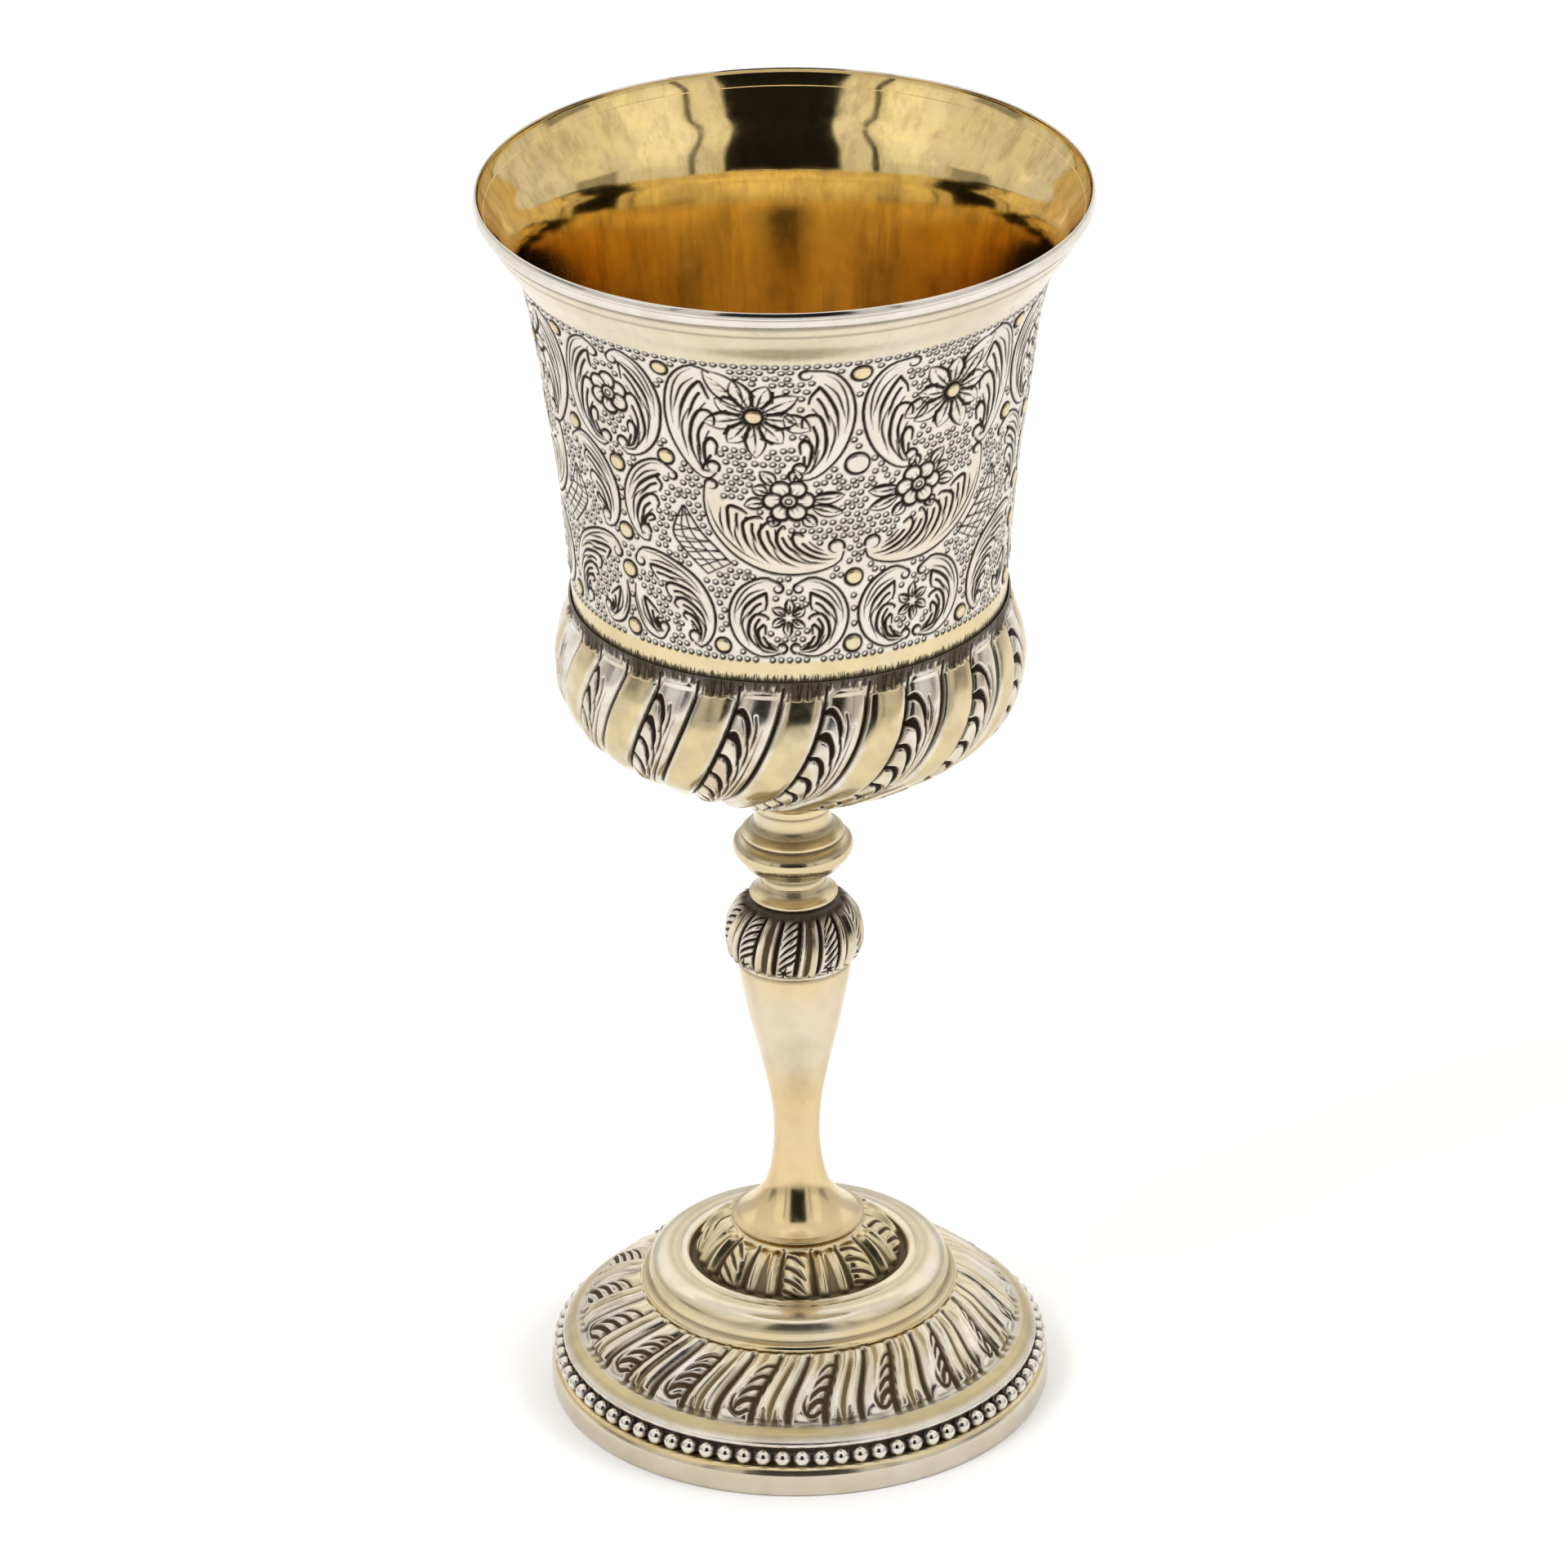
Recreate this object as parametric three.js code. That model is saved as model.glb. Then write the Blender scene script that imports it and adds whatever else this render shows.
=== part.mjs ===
// Communion chalice in silver gilt, built as the silversmith builds it: a raised cup with a gadrooned
// calyx round its base, a stem of separate turned and cast pieces strung on a tie rod, and a domed foot
// made of five soldered rings. A nut under the foot draws the whole stack together.
// Millimetres, +Z up, origin at the centre of the underside of the foot.
import * as THREE from 'three';

// ---------------------------------------------------------------- driving dimensions
const HEIGHT = 180;            // underside of the foot to the top of the lip
const FOOT_RADIUS = 34.6;      // widest point of the foot
const LIP_RADIUS = 41.2;       // widest point of the lip
const CUP_WAIST = 29.3;        // outer radius of the cup where it leaves the calyx
const CALYX_RADIUS = 31.7;     // mean radius of the calyx at its widest
const SHEET = 0.8;             // thickness of the raised silver sheet
const ROD_RADIUS = 1.5;        // tie rod
const BORE_RADIUS = 1.85;      // clearance bore through the stem pieces
const LIP_WIRE_RADIUS = 1.25;  // section of the wire round the lip
const BEAD_RADIUS = 1.15;
const BEAD_COUNT = 78;
const ACROSS_FLATS = 5.5;      // hexagonal nut

// Heights of the planes on which one piece rests on the next.
const RIM_TOP = 4.2;           // foot rim, carries the bead wire and the outer dome
const OUTER_DOME_TOP = 15.3;   // outer dome, carries the step ring
const STEP_SEAT = 18.8;        // flange of the inner dome, carries the step ring's inner edge
const INNER_DOME_TOP = 24.9;   // inner dome, carries the baluster
const BALUSTER_TOP = 65.6;
const KNOP_TOP = 74.9;
const SPOOL_TOP = 78.6;
const RING_KNOP_TOP = 85.9;
const COLLAR_TOP = 94.4;       // stem collar, carries the calyx and the cup
const CUP_UNDERSIDE = 101;
const CALYX_TOP = 121.6;
const LIP_SEAT = HEIGHT - 2 * LIP_WIRE_RADIUS;  // top edge of the cup sheet, carries the lip wire

// Nut, washer and rod end inside the hollow foot.
const PLATE_THICKNESS = 1.0;
const WASHER_THICKNESS = 0.8;
const NUT_HEIGHT = 2.4;
const ROD_END_LENGTH = 1.2;    // rod that shows below the tightened nut

// Numbers of straight sides that stand for a full circle.
const LARGE_ROUND = 36;
const SMALL_ROUND = 20;
const HIDDEN_ROUND = 16;

// Gadroons: paired lobes, with one valley line between each two neighbours.
const CALYX_LOBES = 32;
const KNOP_LOBES = 18;
const OUTER_DOME_LOBES = 36;
const INNER_DOME_LOBES = 16;

// ---------------------------------------------------------------- materials
function metal(color, roughness) {
  return new THREE.MeshStandardMaterial({ color, roughness, metalness: 1 });
}

const POLISHED_GILT = metal(0xd9c184, 0.18);
const CHASED_GILT = metal(0xb9a06a, 0.3);
const ENGRAVED_SILVER = metal(0xcfc6b2, 0.3);
const BRIGHT_SILVER = metal(0xdad6cc, 0.15);
const TURNED_BRASS = metal(0xb4934f, 0.4);

// ---------------------------------------------------------------- outline helpers
// An outline is a list of Vector2(radius, height). Outer outlines run upwards.
const at = (radius, height) => new THREE.Vector2(radius, height);

function smooth(points, steps) {
  return new THREE.SplineCurve(points).getPoints(steps);
}

function arc(radius, height, size, fromDegrees, toDegrees, steps) {
  const points = [];
  for (let i = 0; i <= steps; i++) {
    const angle = THREE.MathUtils.degToRad(fromDegrees + ((toDegrees - fromDegrees) * i) / steps);
    points.push(at(radius + size * Math.cos(angle), height + size * Math.sin(angle)));
  }
  return points;
}

// The same outline moved to the left of its direction of travel, which is towards the metal's far face.
function inset(outline, thickness) {
  return outline.map((point, i) => {
    const before = outline[Math.max(i - 1, 0)];
    const after = outline[Math.min(i + 1, outline.length - 1)];
    const along = after.clone().sub(before).normalize();
    return at(point.x - along.y * thickness, point.y + along.x * thickness);
  });
}

// ---------------------------------------------------------------- solids of revolution
function zUp(geometry) {
  return geometry.rotateX(Math.PI / 2);
}

// A closed ring section turned round the axis.
function turned(section, sides) {
  return zUp(new THREE.LatheGeometry([...section, section[0].clone()], sides));
}

// A section that starts and ends on the axis.
function turnedSolid(section, sides) {
  return zUp(new THREE.LatheGeometry(section, sides));
}

// A ring section whose outer outline carries gadroons. Every row of points between the heights low and high
// is turned about the axis along an S-shaped path, so that the lobes lean, and each valley line is pressed in.
function gadrooned(outer, inner, { lobes, sidesPerLobe, depth, low, high, leanDegrees }) {
  const section = [...outer, ...inner];
  section.push(section[0].clone());
  const sides = lobes * sidesPerLobe;
  const geometry = new THREE.LatheGeometry(section, sides);
  const position = geometry.getAttribute('position');
  const lean = THREE.MathUtils.degToRad(leanDegrees);
  for (let side = 0; side <= sides; side++) {
    for (let row = 0; row < section.length; row++) {
      const { x: radius, y: height } = section[row];
      const share = THREE.MathUtils.clamp((height - low) / (high - low), 0, 1);
      const isValley = row < outer.length && side % sidesPerLobe === 0;
      const press = isValley ? depth * Math.sin(Math.PI * share) : 0;
      const azimuth = (2 * Math.PI * (side % sides)) / sides + lean * THREE.MathUtils.smoothstep(share, 0, 1);
      const pressed = radius - press;
      const index = side * section.length + row;
      position.setXYZ(index, pressed * Math.sin(azimuth), height, pressed * Math.cos(azimuth));
    }
  }
  return zUp(geometry);
}

// ---------------------------------------------------------------- foot
function footRim() {
  const wall = 1.6;
  const flange = 0.8;
  const flangeReach = 2.8;
  const section = [
    at(FOOT_RADIUS - wall, 0),
    at(FOOT_RADIUS - 0.2, 0),
    at(FOOT_RADIUS, 0.4),
    at(FOOT_RADIUS, 3.1),
    at(FOOT_RADIUS - 0.3, 3.8),
    at(FOOT_RADIUS - 0.8, RIM_TOP),
    at(FOOT_RADIUS - flangeReach, RIM_TOP),
    at(FOOT_RADIUS - flangeReach, RIM_TOP - flange),
    at(FOOT_RADIUS - wall, RIM_TOP - flange),
  ];
  return turned(section, LARGE_ROUND);
}

const BEAD_CIRCLE = FOOT_RADIUS - 1.35;  // radius of the circle through the bead centres
const SKIRT_RADIUS = 32.1;               // plain wall of the outer dome behind the beads

// One wire whose section swells at each bead and thins between beads.
function beadWire() {
  const wireSides = 4;
  const neckRadius = 0.45;
  const stations = BEAD_COUNT * 2;
  const positions = [];
  for (let station = 0; station < stations; station++) {
    const azimuth = (2 * Math.PI * station) / stations;
    const size = station % 2 === 0 ? BEAD_RADIUS : neckRadius;
    for (let side = 0; side < wireSides; side++) {
      const angle = (2 * Math.PI * (side + 0.5)) / wireSides;
      const radius = BEAD_CIRCLE + size * Math.cos(angle);
      const height = RIM_TOP + BEAD_RADIUS + size * Math.sin(angle);
      positions.push(radius * Math.cos(azimuth), radius * Math.sin(azimuth), height);
    }
  }
  const faces = [];
  for (let station = 0; station < stations; station++) {
    for (let side = 0; side < wireSides; side++) {
      const here = station * wireSides;
      const next = ((station + 1) % stations) * wireSides;
      const up = (side + 1) % wireSides;
      faces.push(here + side, next + side, next + up);
      faces.push(here + side, next + up, here + up);
    }
  }
  const geometry = new THREE.BufferGeometry();
  geometry.setAttribute('position', new THREE.Float32BufferAttribute(positions, 3));
  geometry.setIndex(faces);
  return geometry;
}

function footOuterDome() {
  const gadroonFoot = at(30.5, 9.1);
  const gadroonHead = at(22.2, OUTER_DOME_TOP - 0.1);
  const fillet = [at(SKIRT_RADIUS, 6.6), at(33.0, 6.7), at(33.0, 7.3), at(31.9, 8.3)];
  const band = smooth([gadroonFoot, at(29.3, 10.3), at(27.1, 12.0), at(24.5, 13.8), gadroonHead], 5);
  const outer = [at(SKIRT_RADIUS, RIM_TOP), ...fillet, ...band, at(20.2, OUTER_DOME_TOP)];
  const inner = [
    at(20.2, OUTER_DOME_TOP - SHEET),
    at(21.6, OUTER_DOME_TOP - 1.3),
    at(26.3, 11.0),
    at(29.6, 8.4),
    at(31.2, 6.6),
    at(31.2, RIM_TOP),
  ];
  return gadrooned(outer, inner, {
    lobes: OUTER_DOME_LOBES, sidesPerLobe: 2, depth: 0.7, low: gadroonFoot.y, high: gadroonHead.y, leanDegrees: 9,
  });
}

function footStepRing() {
  const seatBore = 20.3;
  const foot = [
    at(seatBore, OUTER_DOME_TOP),
    at(21.9, OUTER_DOME_TOP),
    at(22.0, 15.8),
    at(21.7, 16.2),
    at(20.95, 16.45),
  ];
  const shoulder = smooth([at(20.85, 17.6), at(20.5, 18.6), at(19.8, 19.3), at(18.8, 19.7), at(17.2, 19.9)], 6);
  const lip = [
    at(16.5, 19.85),
    at(16.1, 20.1),
    at(15.5, 20.1),
    at(15.0, 19.7),
    at(15.0, STEP_SEAT),
  ];
  const hollow = [
    at(15.8, STEP_SEAT),
    at(16.6, 19.2),
    at(18.7, 18.95),
    at(19.75, 18.2),
    at(20.1, 17.0),
  ];
  return turned([...foot, ...shoulder, ...lip, ...hollow], LARGE_ROUND);
}

function footInnerDome() {
  const flange = 16.0;
  const dome = smooth([at(14.1, STEP_SEAT), at(13.6, 20.3), at(12.3, 22.2), at(10.6, 23.6), at(9.0, 24.5)], 5);
  const outer = [at(flange, STEP_SEAT - SHEET), at(flange, STEP_SEAT), ...dome, at(7.6, INNER_DOME_TOP),
    at(BORE_RADIUS, INNER_DOME_TOP)];
  const inner = [
    at(BORE_RADIUS, INNER_DOME_TOP - SHEET),
    at(7.6, INNER_DOME_TOP - SHEET - 0.5),
    at(10.2, 22.4),
    at(12.2, 20.3),
    at(13.0, STEP_SEAT - SHEET),
  ];
  return gadrooned(outer, inner, {
    lobes: INNER_DOME_LOBES, sidesPerLobe: 2, depth: 0.5, low: STEP_SEAT, high: 24.5, leanDegrees: 2,
  });
}

const PLATE_TOP = STEP_SEAT - SHEET;
const WASHER_TOP = PLATE_TOP - PLATE_THICKNESS;
const NUT_TOP = WASHER_TOP - WASHER_THICKNESS;
const ROD_BOTTOM = NUT_TOP - NUT_HEIGHT - ROD_END_LENGTH;

// A flat ring with a square section.
function disc(outerRadius, boreRadius, bottom, top, sides) {
  return turned([
    at(boreRadius, bottom),
    at(outerRadius, bottom),
    at(outerRadius, top),
    at(boreRadius, top),
  ], sides);
}

function tieNut() {
  const corner = ACROSS_FLATS / Math.sqrt(3);
  const outline = new THREE.Shape();
  for (let i = 0; i < 6; i++) {
    const angle = (Math.PI * i) / 3;
    const x = corner * Math.cos(angle);
    const y = corner * Math.sin(angle);
    if (i === 0) {
      outline.moveTo(x, y);
    } else {
      outline.lineTo(x, y);
    }
  }
  outline.closePath();
  const thread = new THREE.Path();
  thread.absarc(0, 0, ROD_RADIUS + 0.15, 0, 2 * Math.PI, true);
  outline.holes.push(thread);
  const geometry = new THREE.ExtrudeGeometry(outline, { depth: NUT_HEIGHT, bevelEnabled: false, curveSegments: 12 });
  return geometry.translate(0, 0, NUT_TOP - NUT_HEIGHT);
}

// ---------------------------------------------------------------- stem
// A bored stem piece: the outer outline runs from its bottom plane to its top plane.
function bored(outer) {
  const bottom = outer[0].y;
  const top = outer[outer.length - 1].y;
  return turned([at(BORE_RADIUS, bottom), ...outer, at(BORE_RADIUS, top)], SMALL_ROUND);
}

function baluster() {
  const shaft = smooth([
    at(8.5, 25.7), at(6.6, 27.3), at(5.0, 29.4), at(4.1, 31.4), at(3.4, 35), at(3.2, 39),
    at(3.6, 44), at(4.8, 50), at(6.2, 56), at(7.4, 62), at(7.9, BALUSTER_TOP),
  ], 13);
  return bored([at(8.7, INNER_DOME_TOP), at(9.2, 25.15), at(9.2, 25.45), ...shaft]);
}

function gadroonKnop() {
  const low = 66;
  const outer = smooth([
    at(8.1, low), at(8.9, 67), at(9.25, 68.4), at(9.25, 70), at(8.8, 71.8), at(7.7, 73.5), at(5.9, KNOP_TOP),
  ], 7);
  const inner = [at(BORE_RADIUS, KNOP_TOP), at(BORE_RADIUS, BALUSTER_TOP)];
  return gadrooned([at(7.9, BALUSTER_TOP), ...outer], inner, {
    lobes: KNOP_LOBES, sidesPerLobe: 2, depth: 0.5, low, high: KNOP_TOP, leanDegrees: 10,
  });
}

function neckSpool() {
  return bored([
    at(5.3, KNOP_TOP),
    at(5.3, 75.2),
    at(6.05, 75.35),
    at(6.05, 75.8),
    ...smooth([at(5.5, 76.1), at(4.8, 76.7), at(4.5, 77.4)], 3),
    at(4.3, 77.6),
    at(4.3, SPOOL_TOP),
  ]);
}

function ringKnop() {
  const ring = smooth([
    at(5.1, 79.5), at(6.35, 80), at(7.25, 81), at(8.0, 82), at(8.27, 82.9), at(8.0, 83.7), at(7.4, 84.2),
  ], 7);
  return bored([
    at(4.3, SPOOL_TOP),
    at(4.75, 78.8),
    at(4.75, 79.3),
    ...ring,
    at(6.75, 84.5),
    at(7.0, 84.75),
    at(7.0, 85.2),
    at(6.4, 85.6),
    at(5.9, RING_KNOP_TOP),
  ]);
}

function stemCollar() {
  return bored([
    ...smooth([at(5.9, RING_KNOP_TOP), at(5.35, 86.7), at(5.2, 87.8), at(5.2, 88.8)], 4),
    at(5.55, 89.0),
    at(5.6, 90.0),
    at(5.3, 90.4),
    ...smooth([at(5.4, 91.4), at(6.0, 92.8), at(7.6, COLLAR_TOP)], 3),
  ]);
}

// ---------------------------------------------------------------- cup
const SPIGOT_RADIUS = 2.9;     // part of the boss that passes through the calyx
const SOCKET_TOP = 99.8;       // end of the blind thread in the boss

function calyx() {
  const belly = smooth([
    at(8.4, COLLAR_TOP), at(14, 95.7), at(20, 97.9), at(25, 101.1), at(28.7, 104), at(30.9, 107.6),
    at(CALYX_RADIUS, 112), at(31.2, 115.8), at(29.9, 119.3),
  ], 8);
  const outer = [at(SPIGOT_RADIUS + 0.15, COLLAR_TOP), ...belly, at(29.75, CALYX_TOP)];
  const inner = [
    at(CUP_WAIST + 0.15, CALYX_TOP),
    at(CUP_WAIST + 0.15, 118.4),
    at(30.2, 113),
    at(29.3, 107.6),
    at(25.6, 103.1),
    at(18.6, 98.6),
    at(8.4, COLLAR_TOP + SHEET),
    at(SPIGOT_RADIUS + 0.15, COLLAR_TOP + SHEET),
  ];
  return gadrooned(outer, inner, {
    lobes: CALYX_LOBES, sidesPerLobe: 2, depth: 0.9, low: COLLAR_TOP, high: CALYX_TOP, leanDegrees: 28,
  });
}

function cup() {
  const wall = smooth([
    at(9, CUP_UNDERSIDE), at(19, 101.9), at(25.2, 104.6), at(28.2, 109.3), at(29.1, 115), at(CUP_WAIST, 122),
    at(29.9, 130), at(30.9, 141), at(32.4, 152), at(34.0, 163.5), at(35.8, 170), at(38.4, 174), at(40.5, LIP_SEAT),
  ], 13);
  const lining = inset(wall, SHEET).reverse();
  lining[0] = at(39.6, LIP_SEAT);
  const section = [at(0, CUP_UNDERSIDE), ...wall, ...lining, at(0, CUP_UNDERSIDE + SHEET)];
  return turnedSolid(section, LARGE_ROUND);
}

// Half round outside, and a near continuation of the cup's flare inside.
function lipWire() {
  const centre = LIP_RADIUS - LIP_WIRE_RADIUS;
  const middle = HEIGHT - LIP_WIRE_RADIUS;
  return turned([
    at(centre - 0.45, LIP_SEAT),
    at(centre + 0.45, LIP_SEAT),
    ...arc(centre, middle, LIP_WIRE_RADIUS, -45, 90, 3),
    at(centre - 0.1, HEIGHT - 0.3),
    at(centre - 0.25, HEIGHT - 1.3),
  ], LARGE_ROUND);
}

function cupBoss() {
  const hub = 4.5;
  const flange = 8.6;
  const socketRadius = ROD_RADIUS + 0.1;
  return turnedSolid([
    at(0, SOCKET_TOP),
    at(socketRadius, SOCKET_TOP),
    at(socketRadius, COLLAR_TOP),
    at(SPIGOT_RADIUS, COLLAR_TOP),
    at(SPIGOT_RADIUS, COLLAR_TOP + SHEET),
    at(hub, COLLAR_TOP + SHEET),
    at(hub, CUP_UNDERSIDE - 1.4),
    at(flange, CUP_UNDERSIDE - 1.0),
    at(flange, CUP_UNDERSIDE),
    at(0, CUP_UNDERSIDE),
  ], HIDDEN_ROUND);
}

function tieRod() {
  const tipChamfer = 0.4;
  return turnedSolid([
    at(0, ROD_BOTTOM),
    at(ROD_RADIUS - tipChamfer, ROD_BOTTOM),
    at(ROD_RADIUS, ROD_BOTTOM + tipChamfer),
    at(ROD_RADIUS, SOCKET_TOP - 0.2),
    at(0, SOCKET_TOP - 0.2),
  ], HIDDEN_ROUND);
}

// ---------------------------------------------------------------- assembly
const chalice = new THREE.Group();
chalice.name = 'communion_chalice';

function add(name, geometry, material) {
  const mesh = new THREE.Mesh(geometry, material);
  mesh.name = name;
  chalice.add(mesh);
}

add('foot_rim', footRim(), POLISHED_GILT);
add('bead_wire', beadWire(), BRIGHT_SILVER);
add('foot_outer_dome', footOuterDome(), CHASED_GILT);
add('foot_step_ring', footStepRing(), POLISHED_GILT);
add('foot_inner_dome', footInnerDome(), CHASED_GILT);
add('foot_plate', disc(15.6, BORE_RADIUS, WASHER_TOP, PLATE_TOP, SMALL_ROUND), TURNED_BRASS);
add('nut_washer', disc(3.8, ROD_RADIUS + 0.2, NUT_TOP, WASHER_TOP, HIDDEN_ROUND), TURNED_BRASS);
add('tie_nut', tieNut(), TURNED_BRASS);
add('baluster', baluster(), POLISHED_GILT);
add('gadroon_knop', gadroonKnop(), CHASED_GILT);
add('neck_spool', neckSpool(), POLISHED_GILT);
add('ring_knop', ringKnop(), POLISHED_GILT);
add('stem_collar', stemCollar(), POLISHED_GILT);
add('tie_rod', tieRod(), TURNED_BRASS);
add('cup_boss', cupBoss(), TURNED_BRASS);
add('calyx', calyx(), CHASED_GILT);
add('cup', cup(), ENGRAVED_SILVER);
add('lip_wire', lipWire(), BRIGHT_SILVER);

export default chalice;
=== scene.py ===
"""Looks of a silver-gilt communion chalice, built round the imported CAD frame.

Every piece is a closed surface of revolution on a dense grid. Its outline follows the CAD outline, and chased
or engraved relief is drawn on a small flat canvas, wrapped round the piece and pressed into the grid.
Outlines and canvases are in millimetres; meshes are in metres.
"""
import math
from functools import partial

import bpy
import numpy as np
from mathutils import Matrix, Vector

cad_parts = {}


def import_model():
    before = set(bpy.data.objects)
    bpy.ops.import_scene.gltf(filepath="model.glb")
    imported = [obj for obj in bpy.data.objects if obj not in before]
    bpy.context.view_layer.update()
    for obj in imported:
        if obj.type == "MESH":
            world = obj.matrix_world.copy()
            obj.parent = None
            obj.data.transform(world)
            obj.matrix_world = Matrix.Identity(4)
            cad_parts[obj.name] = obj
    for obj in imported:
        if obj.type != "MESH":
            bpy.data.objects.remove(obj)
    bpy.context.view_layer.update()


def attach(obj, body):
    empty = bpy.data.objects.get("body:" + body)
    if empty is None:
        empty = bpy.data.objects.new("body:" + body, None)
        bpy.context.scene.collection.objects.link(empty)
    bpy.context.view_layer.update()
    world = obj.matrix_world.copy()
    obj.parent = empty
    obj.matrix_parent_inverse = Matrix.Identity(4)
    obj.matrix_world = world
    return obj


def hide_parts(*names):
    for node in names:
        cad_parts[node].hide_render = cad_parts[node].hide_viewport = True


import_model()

MM = 0.001
TAU = 2 * math.pi


# ---- outlines ----
def spline(points, steps=24):
    """A Catmull-Rom curve through the points, with the given steps in all."""
    p = np.array(points, float)
    t = np.linspace(0, len(p) - 1, steps + 1)
    i = np.minimum(t.astype(int), len(p) - 2)
    f = (t - i)[:, None]
    a, b, c, d = p[np.maximum(i - 1, 0)], p[i], p[i + 1], p[np.minimum(i + 2, len(p) - 1)]
    v0, v1 = (c - a) / 2, (d - b) / 2
    return (2 * b - 2 * c + v0 + v1) * f**3 + (3 * c - 3 * b - 2 * v0 - v1) * f**2 + v0 * f + b


def arc(r, z, size, start, end, steps):
    a = np.radians(np.linspace(start, end, steps + 1))
    return np.stack([r + size * np.cos(a), z + size * np.sin(a)], 1)


def path(*parts):
    """Joins points and curves into one outline."""
    rows = []
    for part in parts:
        rows.extend([tuple(part)] if np.ndim(part) == 1 else [tuple(row) for row in part])
    kept = [rows[0]]
    for row in rows[1:]:
        if math.dist(row, kept[-1]) > 1e-6:
            kept.append(row)
    return np.array(kept)


def eased(outline, radius):
    """The outline with each corner sharper than 20 degrees rounded."""
    out = [outline[0]]
    for before, corner, after in zip(outline[:-2], outline[1:-1], outline[2:], strict=True):
        back, on = before - corner, after - corner
        lb, lo = np.linalg.norm(back), np.linalg.norm(on)
        if -np.dot(back, on) / (lb * lo) > math.cos(math.radians(20)):
            out.append(corner)
            continue
        cut = min(radius, 0.45 * lb, 0.45 * lo)
        a, b = corner + back / lb * cut, corner + on / lo * cut
        out.extend((1 - t) ** 2 * a + 2 * t * (1 - t) * corner + t**2 * b for t in (0, 0.25, 0.5, 0.75, 1))
    out.append(outline[-1])
    return np.array(out)


def resampled(outline, step):
    """The outline with no gap over step, keeping its own points."""
    out = [outline[0]]
    for a, b in zip(outline[:-1], outline[1:], strict=True):
        n = max(1, math.ceil(math.dist(a, b) / step - 1e-9))
        out.extend(a + (b - a) * k / n for k in range(1, n + 1))
    return np.array(out)


def profile(*parts, step, ease=0.0):
    """An outline of the parts, its corners rounded by ease, with no gap over step."""
    outline = path(*parts)
    return resampled(eased(outline, ease) if ease else outline, step)


def arc_length(outline):
    return np.concatenate([[0], np.cumsum(np.linalg.norm(np.diff(outline, axis=0), axis=1))])


def outward(outline):
    """Unit normals to the right of the outline's direction of travel."""
    g = np.gradient(outline, axis=0)
    n = np.stack([g[:, 1], -g[:, 0]], 1)
    return n / np.maximum(np.linalg.norm(n, axis=1, keepdims=True), 1e-9)


def smoothstep(x, low, high):
    t = np.clip((x - low) / (high - low), 0, 1)
    return t * t * (3 - 2 * t)


def hump(x, middle, half):
    """A bell curve, 1 at its middle."""
    return np.exp(-(((x - middle) / half) ** 2))


# ---- canvases ----
def beside(x, y, a, b):
    """How far each point is along the line from a to b, as a share, and its distance from the line."""
    d = b - a
    t = np.clip(((x - a[0]) * d[0] + (y - a[1]) * d[1]) / max(d @ d, 1e-12), 0, 1)
    return t, np.hypot(x - a[0] - t * d[0], y - a[1] - t * d[1])


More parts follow.
